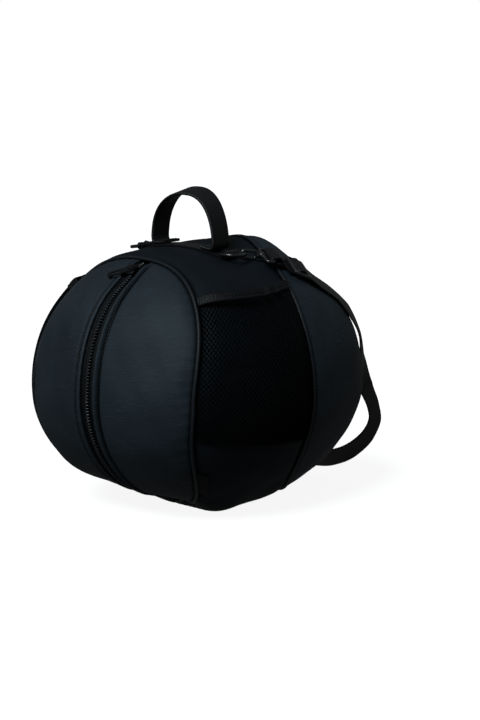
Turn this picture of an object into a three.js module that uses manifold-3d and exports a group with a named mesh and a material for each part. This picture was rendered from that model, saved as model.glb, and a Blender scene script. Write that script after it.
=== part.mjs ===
// A round sports bag for one full-size ball, standing filled with its zip closed.
// Millimetres, +Z up. The origin is on the floor under the middle of the body.
// The zip side faces -Y and the bag's right side, seen from behind, is +X.
import * as THREE from 'three';
import Module from 'manifold-3d';

const wasm = await Module();
wasm.setup();

const DEG = Math.PI / 180;

// Body: a rounded form about a centre above the floor, flattened where it rests
const HALF_WIDTH = 146.65;
const HALF_LENGTH = 160.2;
const RISE = 142;
const DROP = 123.8;
const CENTRE_HEIGHT = 118;
const PLAN_POWER = 2.57;
const UPPER_POWER = 2.17;
const LOWER_POWER = 1.94;

// Cloth, seams and gaps
const CLOTH = 1.6;
const MESH = 1.2;
const GAP = 0.35;
const PIPING_RADIUS = 2.1;
const PIPING_LIFT = 0.7;
const SEAM_DIP = 2.2;
const SEAM_DIP_WIDTH = 9;
const SEAM_SIDE = PIPING_RADIUS + 0.55;

// Gusset seams, given by how far along Y they lie at the bag's side, top and bottom
const FRONT_SEAM = { side: -128, top: -79, bottom: -48, upperPower: 2, lowerPower: 2.6 };
const BACK_SEAM = { side: -3, top: 45, bottom: 77, upperPower: 4, lowerPower: 3.2 };
const SEAM_SETBACK = { amount: 15, angle: 120, spread: 28 };
const BOOT_ANGLE = -17;

// Soft swells and dents of the filled body: where they are, how wide and how high
const SWELLS = [
  { x: 58, y: -40, z: -112, spread: 26, height: 6 },
  { x: -40, y: -75, z: -100, spread: 40, height: -7 },
  { x: 10, y: 60, z: 135, spread: 45, height: 5 },
  { x: -62, y: -20, z: 125, spread: 32, height: -4 },
  { x: 75, y: 70, z: 105, spread: 34, height: -3 },
  { x: 60, y: -140, z: 40, spread: 26, height: -2 },
  { x: 40, y: -135, z: -45, spread: 24, height: 1.5 },
  { x: -70, y: -135, z: 20, spread: 28, height: -1.5 },
  { x: 0, y: -105, z: 112, spread: 22, height: -2.5 },
  { x: -4, y: -10, z: 142, spread: 42, height: -5 },
  { x: 22, y: 52, z: 140, spread: 26, height: 3.5 },
  { x: -100, y: -68, z: 90, spread: 50, height: -4 },
  { x: -18, y: -62, z: -112, spread: 30, height: -4 },
  { x: 70, y: 35, z: -105, spread: 40, height: 3 },
  { x: 50, y: -14, z: 127, spread: 40, height: -7.5 },
  { x: 30, y: 56, z: 132, spread: 24, height: 2.5 },
  { x: -108, y: -92, z: 35, spread: 40, height: -3 },
  { x: 23, y: -72, z: -107, spread: 22, height: -7 },
  { x: -66, y: -108, z: -75, spread: 36, height: 3 },
  { x: -60, y: -60, z: 115, spread: 25, height: 2.5 },
  { x: 70, y: 0, z: -108, spread: 36, height: 1.5 },
  { x: 33, y: -60, z: -112, spread: 15, height: -4 },
];

// Zip
const ZIP_EDGE = 11.6;
const TAPE_REACH = 17;
const TAPE_THICK = 1;
const COIL_HALF = 3;
const ZIP_SLIDER_ANGLE = 51;

// Pockets
const POCKET_TOP = { front: 50.5, back: 46.5, sag: 5.5 };
const POCKET_SLACK = 7.5;
const HEM_HEIGHT = 11;
const HEM_THICK = 2.4;
const GATHER = { count: 6.5, height: 2.2 };

// Webbing and hardware
const WEBBING = 25;
const WEBBING_THICK = 1.6;
const HANDLE = { half: 39, y: -13, top: 309.5, thick: 3, foot: 15, tilt: 0.24 };
const RING_BAR_X = 54;
const RING_Y = -17;
const RING = { wire: 1.75, halfBar: 12.6, depth: 14.5 };
const HOOK = { x: 63.5, y: -8.5, headX: 0.55, headY: 0.83, lift: 8.6, reach: 27, wire: 1.6 };
const EYE = { half: 14.8, length: 8, wire: 1.7 };
const STRAP_SLIDER = { x: 91, y: 38, half: 15.8, length: 21, bar: 3, thick: 2.6 };
const LABEL = { from: -35.5, to: -50.5, width: 11, thick: 1.2 };

// Shoulder strap: what it passes after its adjuster, on the right side and then mirrored.
// Rows with no height lie on the body. turn says which way the webbing's width points.
const STRAP_ROUTE = [
  { x: 99, y: 63, height: null, turn: null },
  { x: 103, y: 88, height: null, turn: null },
  { x: 107.5, y: 107, height: 186, turn: [0.62, -0.6, -0.5] },
  { x: 100.8, y: 133.5, height: 160.4, turn: [0.53, -0.84, 0.14] },
  { x: 96, y: 146.5, height: 132.7, turn: [0.46, -0.88, 0.12] },
  { x: 95.4, y: 153.8, height: 104.6, turn: [0.05, -0.99, -0.14] },
  { x: 103.2, y: 156.3, height: 84.1, turn: [0.12, -0.99, -0.03] },
  { x: 105.4, y: 156.4, height: 68.5, turn: [0.07, -0.96, 0.26] },
  { x: 98.4, y: 151.2, height: 50.5, turn: [0.15, -0.81, 0.56] },
  { x: 79.4, y: 146.9, height: 33.7, turn: [0.22, -0.72, 0.65] },
  { x: 53.2, y: 148.4, height: 23.4, turn: [0.35, -0.63, 0.7] },
  { x: 24, y: 153.6, height: 18.6, turn: [0.16, -0.64, 0.75] },
  { x: 0, y: 154.8, height: 17.6, turn: [0, -0.64, 0.77] },
];

function lerp(a, b, share) {
  return a + (b - a) * share;
}

function smooth(from, to, value) {
  return THREE.MathUtils.smoothstep(value, from, to);
}

function seamLine(seam, angle) {
  const rise = Math.abs(Math.sin(angle));
  const end = Math.sin(angle) >= 0 ? seam.top : seam.bottom;
  const power = Math.sin(angle) >= 0 ? seam.upperPower : seam.lowerPower;
  return lerp(seam.side, end, Math.pow(rise, power));
}

// The far shoulder of the front seam sits back a little, as the bag slumps there
function frontSeam(angle) {
  const off = (((angle / DEG - SEAM_SETBACK.angle) % 360) + 540) % 360 - 180;
  return seamLine(FRONT_SEAM, angle) + SEAM_SETBACK.amount * Math.exp(-((off / SEAM_SETBACK.spread) ** 2));
}

function backSeam(angle) {
  return seamLine(BACK_SEAM, angle);
}

// How far the skin lies from the body's centre in one direction
function skinReach(direction) {
  const upper = direction.z >= 0;
  const power = upper ? UPPER_POWER : LOWER_POWER;
  const tall = upper ? RISE : DROP;
  const across = Math.abs(direction.x / HALF_WIDTH) ** PLAN_POWER;
  const along = Math.abs(direction.y / HALF_LENGTH) ** PLAN_POWER;
  const high = Math.abs(direction.z / tall) ** power;
  let reach = ((across + along) ** (power / PLAN_POWER) + high) ** (-1 / power);
  const angle = Math.atan2(direction.z, direction.x);
  const y = reach * direction.y;
  const toFront = (y - frontSeam(angle)) / SEAM_DIP_WIDTH;
  const toBack = (y - backSeam(angle)) / SEAM_DIP_WIDTH;
  for (const swell of SWELLS) {
    const middle = new THREE.Vector3(swell.x, swell.y, swell.z);
    const away = direction.angleTo(middle) * middle.length();
    reach += swell.height * Math.exp(-((away / swell.spread) ** 2));
  }
  return reach - SEAM_DIP * (Math.exp(-(toFront ** 2)) + Math.exp(-(toBack ** 2)));
}

// A point at a height above the skin, kept off the floor by the same cloth
function skinPoint(direction, lift) {
  const point = direction.clone().multiplyScalar(skinReach(direction) + lift);
  point.z = Math.max(point.z + CENTRE_HEIGHT, Math.max(0, -lift));
  return point;
}

// Directions by angle around the Y axis and by swing from the front pole
function direction(angle, swing) {
  const ring = Math.sin(swing);
  return new THREE.Vector3(ring * Math.cos(angle), -Math.cos(swing), ring * Math.sin(angle));
}

function swingAt(angle, y) {
  let low = 0;
  let high = Math.PI;
  for (let step = 0; step < 40; step += 1) {
    const middle = (low + high) / 2;
    const ray = direction(angle, middle);
    if (ray.y * skinReach(ray) < y) {
      low = middle;
    } else {
      high = middle;
    }
  }
  return (low + high) / 2;
}

// A seam's swing, moved to one side of the seam by a length on the skin square to the seam
function seamSwing(seam, angle, side) {
  const step = 0.02;
  const swing = swingAt(angle, seam(angle));
  const before = swingAt(angle - step, seam(angle - step));
  const after = swingAt(angle + step, seam(angle + step));
  const slant = Math.hypot(1, (after - before) / (2 * step * Math.sin(swing)));
  return swing + (side * slant) / skinReach(direction(angle, swing));
}

// The upper skin above a place in plan
function topPoint(x, y, lift) {
  let low = 0;
  let high = 2 * RISE;
  for (let step = 0; step < 40; step += 1) {
    const middle = (low + high) / 2;
    const ray = new THREE.Vector3(x, y, middle);
    const length = ray.length();
    if (length < skinReach(ray.normalize()) + lift) {
      low = middle;
    } else {
      high = middle;
    }
  }
  return new THREE.Vector3(x, y, low + CENTRE_HEIGHT);
}

function topNormal(x, y) {
  const step = 2;
  const alongX = topPoint(x + step, y, 0).sub(topPoint(x - step, y, 0));
  const alongY = topPoint(x, y + step, 0).sub(topPoint(x, y - step, 0));
  return alongX.cross(alongY).normalize();
}

// A closed solid from triangles: equal corners are merged, empty triangles dropped, faces turned outwards
function solid(corners, faces) {
  const places = new Map();
  const kept = [];
  const number = corners.map((corner) => {
    const key = [corner.x, corner.y, corner.z].map((value) => Math.round(value * 1e4)).join(' ');
    if (!places.has(key)) {
      places.set(key, kept.length);
      kept.push(corner);
    }
    return places.get(key);
  });
  let volume = 0;
  const triangles = [];
  for (const face of faces) {
    const [a, b, c] = face.map((corner) => number[corner]);
    if (a !== b && b !== c && c !== a) {
      triangles.push([a, b, c]);
      volume += kept[a].dot(kept[b].clone().cross(kept[c]));
    }
  }
  const geometry = new THREE.BufferGeometry().setFromPoints(kept);
  geometry.setIndex(triangles.flatMap(([a, b, c]) => (volume > 0 ? [a, b, c] : [a, c, b])));
  geometry.computeVertexNormals();
  return geometry;
}

// A curved plate between an outer and an inner surface, each a function of two shares from 0 to 1.
// A round plate closes on itself in its first share.
function plate(columns, rows, outer, inner, round = false) {
  const corners = [];
  const faces = [];
  const width = rows + 1;
  for (const surface of [outer, inner]) {
    for (let i = 0; i <= columns; i += 1) {
      for (let j = 0; j <= rows; j += 1) {
        corners.push(surface(round && i === columns ? 0 : i / columns, j / rows));
      }
    }
  }
  const layer = (columns + 1) * width;
  const quad = (a, b, c, d) => faces.push([a, b, c], [a, c, d]);
  for (let i = 0; i < columns; i += 1) {
    for (let j = 0; j < rows; j += 1) {
      const at = i * width + j;
      quad(at, at + width, at + width + 1, at + 1);
      quad(layer + at, layer + at + 1, layer + at + width + 1, layer + at + width);
    }
    for (const j of [0, rows]) {
      const at = i * width + j;
      if (j === 0) {
        quad(at, layer + at, layer + at + width, at + width);
      } else {
        quad(at, at + width, layer + at + width, layer + at);
      }
    }
  }
  if (!round) {
    for (let j = 0; j < rows; j += 1) {
      const end = columns * width + j;
      quad(j, j + 1, layer + j + 1, layer + j);
      quad(end, layer + end, layer + end + 1, end + 1);
    }
  }
  return solid(corners, faces);
}

// A solid through a row of like sections, closed into a ring or capped at both ends
function sweep(sections, ring) {
  const sides = sections[0].length;
  const faces = [];
  const spans = ring ? sections.length : sections.length - 1;
  for (let i = 0; i < spans; i += 1) {
    const next = (i + 1) % sections.length;
    for (let j = 0; j < sides; j += 1) {
      const turn = (j + 1) % sides;
      faces.push([i * sides + j, next * sides + j, next * sides + turn]);
      faces.push([i * sides + j, next * sides + turn, i * sides + turn]);
    }
  }
  if (!ring) {
    const last = (sections.length - 1) * sides;
    for (let j = 1; j < sides - 1; j += 1) {
      faces.push([0, j, j + 1]);
      faces.push([last, last + j + 1, last + j]);
    }
  }
  return solid(sections.flat(), faces);
}

// Round wire along a row of points
function wire(points, radius, sides, ring, wideward) {
  const count = points.length;
  const sections = points.map((point, i) => {
    const before = ring ? points[(i + count - 1) % count] : points[Math.max(i - 1, 0)];
    const after = ring ? points[(i + 1) % count] : points[Math.min(i + 1, count - 1)];
    const along = after.clone().sub(before).normalize();
    const across = wideward(point, i).clone().addScaledVector(along, -wideward(point, i).dot(along)).normalize();
    const out = along.clone().cross(across);
    return Array.from({ length: sides }, (_, j) => {
      const turn = ((j + 0.5) / sides) * 2 * Math.PI;
      const corner = point.clone().addScaledVector(across, radius * Math.cos(turn));
      return corner.addScaledVector(out, radius * Math.sin(turn));
    });
  });
  return sweep(sections, ring);
}

// Flat webbing along a row of places, each a point with the way its width points
function webbing(places, width, thick) {
  const sections = places.map(({ point, wide }, i) => {
    const before = places[Math.max(i - 1, 0)].point;
    const after = places[Math.min(i + 1, places.length - 1)].point;
    const along = after.clone().sub(before).normalize();
    const across = wide.clone().addScaledVector(along, -wide.dot(along)).normalize();
    const out = along.clone().cross(across);
    return [[-1, -1], [1, -1], [1, 1], [-1, 1]].map(([w, t]) => {
      const corner = point.clone().addScaledVector(across, (w * width) / 2);
      return corner.addScaledVector(out, (t * thick) / 2);
    });
  });
  return sweep(sections, false);
}

function toManifold(geometry) {
  return new wasm.Manifold(new wasm.Mesh({
    numProp: 3,
    vertProperties: new Float32Array(geometry.getAttribute('position').array),
    triVerts: new Uint32Array(geometry.getIndex().array),
  }));
}

function fromManifold(whole) {
  const mesh = whole.getMesh();
  const corners = [];
  for (let i = 0; i < mesh.vertProperties.length; i += mesh.numProp) {
    corners.push(new THREE.Vector3().fromArray(mesh.vertProperties, i));
  }
  const faces = [];
  for (let i = 0; i < mesh.triVerts.length; i += 3) {
    faces.push(Array.from(mesh.triVerts.slice(i, i + 3)));
  }
  return solid(corners, faces);
}

function joined(geometries) {
  return fromManifold(geometries.map(toManifold).reduce((sum, next) => sum.add(next)));
}

function cut(geometry, tools) {
  return fromManifold(tools.map(toManifold).reduce((rest, next) => rest.subtract(next), toManifold(geometry)));
}

// Any three.js geometry as merged triangles, placed by a matrix
function placed(geometry, matrix) {
  const bare = geometry.index ? geometry.toNonIndexed() : geometry;
  const position = bare.getAttribute('position');
  const corners = [];
  const faces = [];
  for (let i = 0; i < position.count; i += 1) {
    corners.push(new THREE.Vector3().fromBufferAttribute(position, i).applyMatrix4(matrix));
    if (i % 3 === 2) {
      faces.push([i - 2, i - 1, i]);
    }
  }
  return solid(corners, faces);
}

function basis(along, across, out, origin) {
  return new THREE.Matrix4().makeBasis(along, across, out).setPosition(origin);
}

// Front dome
function zipDirection(x, angle) {
  let side = x / HALF_LENGTH;
  let ray = new THREE.Vector3();
  for (let step = 0; step < 6; step += 1) {
    const ring = Math.sqrt(1 - side * side);
    ray = new THREE.Vector3(side, -ring * Math.cos(angle), ring * Math.sin(angle));
    side *= x === 0 ? 0 : x / (ray.x * skinReach(ray));
  }
  return ray;
}

// Where the zip meets the seam at its top and bottom end, as angles from the front pole
function zipEnd(upper, x, inset) {
  const around = upper ? Math.PI / 2 - x / 125 : -Math.PI / 2 + x / 115;
  const ray = direction(around, seamSwing(frontSeam, around, -inset));
  return Math.atan2(ray.z, -ray.y);
}

function frontGore(side) {
  const zipTop = zipEnd(true, side * ZIP_EDGE, SEAM_SIDE);
  const zipBottom = zipEnd(false, side * ZIP_EDGE, SEAM_SIDE);
  const surface = (lift) => (down, out) => {
    const around = Math.PI / 2 - side * lerp(ZIP_EDGE / 125, Math.PI - ZIP_EDGE / 115, down);
    const seam = direction(around, seamSwing(frontSeam, around, -SEAM_SIDE));
    const zip = zipDirection(side * ZIP_EDGE, lerp(zipTop, zipBottom, down));
    return skinPoint(zip.lerp(seam, out).normalize(), lift);
  };
  return plate(22, 6, surface(0), surface(-CLOTH));
}

// A strip along the zip between two distances from its middle, with a crown of its own
function zipStrip(fromX, toX, columns, rows, high, low, inset) {
  const top = zipEnd(true, 0, inset);
  const bottom = zipEnd(false, 0, inset);
  const surface = (lift) => (down, out) => {
    const ray = zipDirection(lerp(fromX, toX, out), lerp(top, bottom, down));
    return skinPoint(ray, lift(out));
  };
  return plate(columns, rows, surface(high), surface(low));
}

const tapeHigh = -CLOTH - 1.5 * GAP;
const coilLow = tapeHigh + GAP;

function zipTape(side) {
  return zipStrip(side * 0.25, side * TAPE_REACH, 24, 1, () => tapeHigh, () => tapeHigh - TAPE_THICK, 5);
}

function zipCoil() {
  return zipStrip(-COIL_HALF, COIL_HALF, 26, 2, (out) => 0.5 - Math.abs(out - 0.5) * 2.4, () => coilLow, 6);
}

// The slider stands on the coil near the zip's top end, and its pull hangs to the left from a stud
function zipSliderFrame() {
  const angle = ZIP_SLIDER_ANGLE * DEG;
  const point = skinPoint(zipDirection(0, angle), 0);
  const along = skinPoint(zipDirection(0, angle - 0.02), 0).sub(point).normalize();
  const across = new THREE.Vector3(1, 0, 0);
  const out = along.clone().cross(across).normalize();
  const origin = skinPoint(zipDirection(0, angle), 0.5 + GAP + 0.3);
  return { along, across, out, origin };
}

const SLIDER_THICK = 1.8;
const STUD_RADIUS = 1.6;
const PULL = { width: 7.5, length: 25, thick: 1.3, hole: 2.1 };

function zipSlider() {
  const { along, across, out, origin } = zipSliderFrame();
  const outline = new THREE.Shape();
  outline.moveTo(-6.5, -3.2);
  outline.lineTo(-6.5, 3.2);
  outline.lineTo(-1, 4.8);
  outline.lineTo(5.5, 4.8);
  outline.lineTo(6.5, 3.6);
  outline.lineTo(6.5, -3.6);
  outline.lineTo(5.5, -4.8);
  outline.lineTo(-1, -4.8);
  const base = new THREE.ExtrudeGeometry(outline, { depth: SLIDER_THICK, bevelEnabled: false });
  const stud = new THREE.CylinderGeometry(STUD_RADIUS, STUD_RADIUS, 3, 12).rotateX(Math.PI / 2);
  const head = new THREE.CylinderGeometry(2.9, 2.9, 1.2, 12).rotateX(Math.PI / 2);
  const place = basis(along, across, out, origin);
  return joined([
    placed(base, place),
    placed(stud.translate(0, 0, SLIDER_THICK + 1.2), place),
    placed(head.translate(0, 0, SLIDER_THICK + PULL.thick + 2 * GAP + 0.6), place),
  ]);
}

function zipPull() {
  const { along, across, out, origin } = zipSliderFrame();
  const half = PULL.width / 2;
  const outline = new THREE.Shape();
  outline.absarc(0, 0, half, Math.PI / 2, 1.5 * Math.PI, false);
  outline.lineTo(PULL.length - 2, -half);
  outline.lineTo(PULL.length, 2 - half);
  outline.lineTo(PULL.length, half - 2);
  outline.lineTo(PULL.length - 2, half);
  outline.holes.push(new THREE.Path().absarc(0, 0, PULL.hole, 0, 2 * Math.PI, true));
  const shape = new THREE.ExtrudeGeometry(outline, { depth: PULL.thick, bevelEnabled: false, curveSegments: 6 });
  const lean = across.clone().multiplyScalar(-0.86).addScaledVector(along, 0.5).normalize();
  const start = origin.clone().addScaledVector(out, SLIDER_THICK + GAP);
  return placed(shape, basis(lean, out.clone().cross(lean), out, start));
}

// Gusset: a band from one seam to the other over a range of angles
function gusset(fromAngle, toAngle, columns, rows) {
  const surface = (lift) => (around, back) => {
    const angle = lerp(fromAngle, toAngle, around);
    const near = seamSwing(frontSeam, angle, SEAM_SIDE);
    const far = seamSwing(backSeam, angle, -SEAM_SIDE);
    return skinPoint(direction(angle, lerp(near, far, back)), lift);
  };
  return plate(columns, rows, surface(0), surface(-CLOTH));
}

function topBand() {
  const from = BOOT_ANGLE * DEG + 0.2 / HALF_WIDTH;
  return gusset(from, Math.PI - from, 36, 6);
}

function baseBand() {
  const from = BOOT_ANGLE * DEG - 0.2 / HALF_WIDTH;
  return gusset(from, -Math.PI - from, 28, 7);
}

function backDome() {
  const surface = (lift) => (around, back) => {
    const angle = around * 2 * Math.PI;
    const swing = lerp(seamSwing(backSeam, angle, SEAM_SIDE), Math.PI, back);
    return skinPoint(direction(angle, swing), lift);
  };
  return plate(50, 8, surface(0), surface(-CLOTH), true);
}

function piping(seam) {
  const points = Array.from({ length: 64 }, (_, i) => {
    const angle = (i / 64) * 2 * Math.PI;
    const point = skinPoint(direction(angle, swingAt(angle, seam(angle))), PIPING_LIFT);
    point.z = Math.max(point.z, PIPING_RADIUS + 0.1);
    return point;
  });
  const middle = new THREE.Vector3(0, 0, CENTRE_HEIGHT);
  return wire(points, PIPING_RADIUS, 6, true, (point) => point.clone().sub(middle));
}

// Pockets: a slack sheet of mesh between the seams, and its elastic hem
function pocketAngle(side, angle) {
  return side > 0 ? angle : Math.PI - angle;
}

function pocketLift(up, back) {
  const belly = Math.sin(Math.PI * back) ** 0.7;
  const gathers = Math.sin(2 * Math.PI * GATHER.count * back) * smooth(0.4, 0.75, back);
  const fade = smooth(0.75, 1, up);
  return 2 * GAP + POCKET_SLACK * belly * smooth(0, 0.75, up) + GATHER.height * gathers * fade * belly;
}

function pocketSheet(side, fromUp, toUp, columns, rows, low, high) {
  const surface = (lift) => (across, rise) => {
    const up = lerp(fromUp, toUp, rise);
    const sag = POCKET_TOP.sag * Math.sin(Math.PI * across);
    const top = (lerp(POCKET_TOP.front, POCKET_TOP.back, across) - sag) * DEG;
    const bottom = BOOT_ANGLE * DEG + 1.5 / HALF_WIDTH;
    const angle = pocketAngle(side, lerp(bottom, top, up));
    const near = seamSwing(frontSeam, angle, SEAM_SIDE + 0.3);
    const far = seamSwing(backSeam, angle, -SEAM_SIDE - 0.3);
    const ray = direction(angle, lerp(near, far, across));
    return skinPoint(ray, pocketLift(Math.min(up, 1), across) + lift);
  };
  return plate(columns, rows, surface(high), surface(low));
}

const hemShare = HEM_HEIGHT / 160;

function pocketMesh(side) {
  return pocketSheet(side, 0, 1 - hemShare - 0.003, 16, 7, 0, MESH);
}

function pocketHem(side) {
  return pocketSheet(side, 1 - hemShare, 1, 28, 1, 0, HEM_THICK);
}

// Handle: an arch of stiff webbing with its feet turned in under it
function handleFoot(side) {
  const lift = WEBBING_THICK + STRIP_LIFT + GAP + HANDLE.thick / 2 + 0.15;
  const rows = [
    { x: HANDLE.half - HANDLE.foot, rise: 0 },
    { x: HANDLE.half - 6, rise: 0 },
    { x: HANDLE.half - 1.5, rise: 1.2 },
  ];
  return rows.map(({ x, rise }) => {
    const point = topPoint(side * x, HANDLE.y, lift);
    const wide = topPoint(side * x, HANDLE.y + 8, 0).sub(topPoint(side * x, HANDLE.y - 8, 0)).normalize();
    return { point: point.add(new THREE.Vector3(0, 0, rise)), wide };
  });
}

function handlePlaces() {
  const feet = [handleFoot(1), handleFoot(-1)];
  const steps = 22;
  const arch = Array.from({ length: steps + 1 }, (_, i) => {
    const turn = (i / steps) * Math.PI;
    const share = Math.cos(turn);
    const foot = lerp(feet[1][2].point.z, feet[0][2].point.z, (share + 1) / 2) + 3.2;
    const x = HANDLE.half * Math.sign(share) * Math.abs(share) ** (share > 0 ? 0.8 : 0.95);
    const z = lerp(foot, HANDLE.top - HANDLE.thick / 2, Math.sin(turn) ** (share > 0 ? 1.05 : 0.87));
    const tilt = HANDLE.tilt * Math.sin(turn) ** 1.5;
    return { point: new THREE.Vector3(x, HANDLE.y, z), wide: new THREE.Vector3(0, Math.cos(tilt), Math.sin(tilt)) };
  });
  return [...feet[0], ...arch, ...feet[1].reverse()];
}

function handle() {
  return webbing(handlePlaces(), WEBBING, HANDLE.thick);
}

// Ring strip: webbing sewn on the top band, with an eye at each end around a D-ring's bar
const eyeInner = RING.wire + GAP;
const eyeOuter = eyeInner + WEBBING_THICK;
const STRIP_WIDTH = 20;
const STRIP_LIFT = 0.8;

function barPoint(side) {
  return topPoint(side * RING_BAR_X, RING_Y, GAP).add(new THREE.Vector3(0, 0, eyeOuter + 1.35));
}

function ringStrip() {
  const surface = (lift) => (across, back) => {
    const x = lerp(-RING_BAR_X - 1, RING_BAR_X + 1, across);
    return topPoint(x, RING_Y + lerp(-STRIP_WIDTH, STRIP_WIDTH, back) / 2, lift);
  };
  const strip = plate(18, 2, surface(STRIP_LIFT + WEBBING_THICK), surface(STRIP_LIFT));
  const eyes = [1, -1].map((side) => {
    const outline = new THREE.Shape().absarc(0, 0, eyeOuter, 0, 2 * Math.PI, false);
    outline.holes.push(new THREE.Path().absarc(0, 0, eyeInner, 0, 2 * Math.PI, true));
    const eye = new THREE.ExtrudeGeometry(outline, { depth: STRIP_WIDTH, bevelEnabled: false, curveSegments: 8 });
    const start = barPoint(side).add(new THREE.Vector3(0, -STRIP_WIDTH / 2, 0));
    const place = basis(new THREE.Vector3(1, 0, 0), new THREE.Vector3(0, 0, -1), new THREE.Vector3(0, 1, 0), start);
    return placed(eye, place);
  });
  return joined([strip, ...eyes]);
}

// D-ring: a bar along Y in the strip's eye and a bow that the hook holds up a little
function ringPoints(side) {
  const bar = barPoint(side);
  const tip = topPoint(side * (RING_BAR_X + RING.depth), RING_Y, HOOK.lift);
  const out = tip.sub(bar).normalize();
  const points = [];
  for (let i = 0; i <= 16; i += 1) {
    const turn = (i / 16) * Math.PI;
    const along = Math.sign(Math.cos(turn)) * Math.abs(Math.cos(turn)) ** 0.75 * RING.halfBar;
    const depth = Math.sin(turn) ** 0.75 * RING.depth;
    points.push(bar.clone().addScaledVector(out, depth).add(new THREE.Vector3(0, along, 0)));
  }
  for (let i = 1; i < 6; i += 1) {
    points.push(bar.clone().add(new THREE.Vector3(0, lerp(-1, 1, i / 6) * RING.halfBar, 0)));
  }
  return { points, out };
}

function dRing(side) {
  const { points, out } = ringPoints(side);
  const flat = out.clone().cross(new THREE.Vector3(0, 1, 0)).normalize();
  return wire(points, RING.wire, 6, true, () => flat);
}

// Hook: a closed snap link through the ring, a neck and an eye for the strap
function hookFrame(side) {
  const { points } = ringPoints(side);
  const back = points.slice(0, 17).filter((point) => point.y > RING_Y);
  const along = new THREE.Vector3(side * HOOK.headX, HOOK.headY, 0);
  const middle = { x: side * HOOK.x + along.x * 14, y: HOOK.y + along.y * 14 };
  const up = topNormal(middle.x, middle.y);
  along.addScaledVector(up, -along.dot(up)).normalize();
  const across = up.clone().cross(along).normalize();
  const bow = back.reduce((best, point) => {
    const reach = (place) => Math.abs(place.x - side * HOOK.x) + Math.abs(place.y - HOOK.y);
    return reach(point) < reach(best) ? point : best;
  });
  return { along, across, up, start: bow.clone() };
}

function hook(side) {
  const { along, across, up, start } = hookFrame(side);
  const at = (a, w, h) => {
    const point = start.clone().addScaledVector(along, a);
    return point.addScaledVector(across, w).addScaledVector(up, h);
  };
  const bend = RING.wire + GAP + HOOK.wire + 0.1;
  const link = Array.from({ length: 16 }, (_, i) => {
    const turn = (i / 16) * 2 * Math.PI;
    const shift = Math.cos(turn) > 0 ? 9 : 0;
    return at(shift + bend * Math.cos(turn), 0, bend * Math.sin(turn));
  });
  const corner = 3;
  const eyeFrom = HOOK.reach - EYE.length;
  const eye = [];
  for (let i = 0; i < 4; i += 1) {
    const endA = i === 0 || i === 3 ? HOOK.reach : eyeFrom;
    const endW = i < 2 ? EYE.half : -EYE.half;
    for (let j = 0; j <= 3; j += 1) {
      const turn = ((i + j / 3) * Math.PI) / 2;
      const inA = endA === HOOK.reach ? endA - corner : endA + corner;
      const inW = endW > 0 ? endW - corner : endW + corner;
      eye.push(at(inA + corner * Math.cos(turn), inW + corner * Math.sin(turn), 0));
    }
  }
  const neck = new THREE.CylinderGeometry(2.8, 2.8, 8.5, 10).rotateZ(-Math.PI / 2);
  const neckPlace = basis(along, across, up, at(eyeFrom - 3.2, 0, 0));
  return joined([
    wire(link, HOOK.wire, 6, true, () => across),
    placed(neck, neckPlace),
    wire(eye, EYE.wire, 6, true, () => up),
  ]);
}

// Shoulder strap
function strapEnd(side) {
  const { along, across, up, start } = hookFrame(side);
  const bar = start.clone().addScaledVector(along, HOOK.reach);
  const bend = EYE.wire + GAP + WEBBING_THICK / 2;
  const places = [{ point: bar.clone().addScaledVector(along, 13).addScaledVector(up, -bend), wide: across }];
  for (let i = 0; i <= 8; i += 1) {
    const turn = 1.5 * Math.PI - (i / 8) * Math.PI;
    const point = bar.clone().addScaledVector(along, bend * Math.cos(turn));
    places.push({ point: point.addScaledVector(up, bend * Math.sin(turn)), wide: across });
  }
  places.push({ point: bar.clone().addScaledVector(along, 7).addScaledVector(up, bend * 0.95), wide: across });
  return places;
}

function strapSliderFrame() {
  const { x, y } = STRAP_SLIDER;
  const up = topNormal(x, y);
  const along = topPoint(98, 60, 0).sub(topPoint(82, 18, 0));
  along.addScaledVector(up, -along.dot(up)).normalize();
  const across = up.clone().cross(along).normalize();
  const origin = topPoint(x, y, 0).addScaledVector(up, 5.4);
  return { along, across, up, origin };
}

const weave = STRAP_SLIDER.thick / 2 + GAP + WEBBING_THICK / 2;

function strapThroughSlider() {
  const { along, across, up, origin } = strapSliderFrame();
  const rows = [[-13, -1], [-6.9, -1], [-2.1, 1], [2.1, 1], [6.9, -1], [13, -1]];
  return rows.map(([a, h]) => {
    const point = origin.clone().addScaledVector(along, a).addScaledVector(up, h * weave);
    return { point, wide: across };
  });
}

function strapSlider() {
  const { along, across, up, origin } = strapSliderFrame();
  const { half, length, bar, thick } = STRAP_SLIDER;
  const window = (length - 3 * bar) / 2;
  const outline = new THREE.Shape();
  const end = length / 2;
  outline.moveTo(-end + 2, -half);
  outline.lineTo(end - 2, -half);
  outline.lineTo(end, -half + 2);
  outline.lineTo(end, half - 2);
  outline.lineTo(end - 2, half);
  outline.lineTo(-end + 2, half);
  outline.lineTo(-end, half - 2);
  outline.lineTo(-end, -half + 2);
  const frame = new THREE.ExtrudeGeometry(outline, { depth: thick, bevelEnabled: false });
  const place = basis(along, across, up, origin);
  const windows = [-1, 1].map((end) => {
    const opening = new THREE.BoxGeometry(window, 2 * half - 5.2, 3 * thick);
    return placed(opening.translate((end * (bar + window)) / 2, 0, 0), place);
  });
  return cut(placed(frame.translate(0, 0, -thick / 2), place), windows);
}

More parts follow.
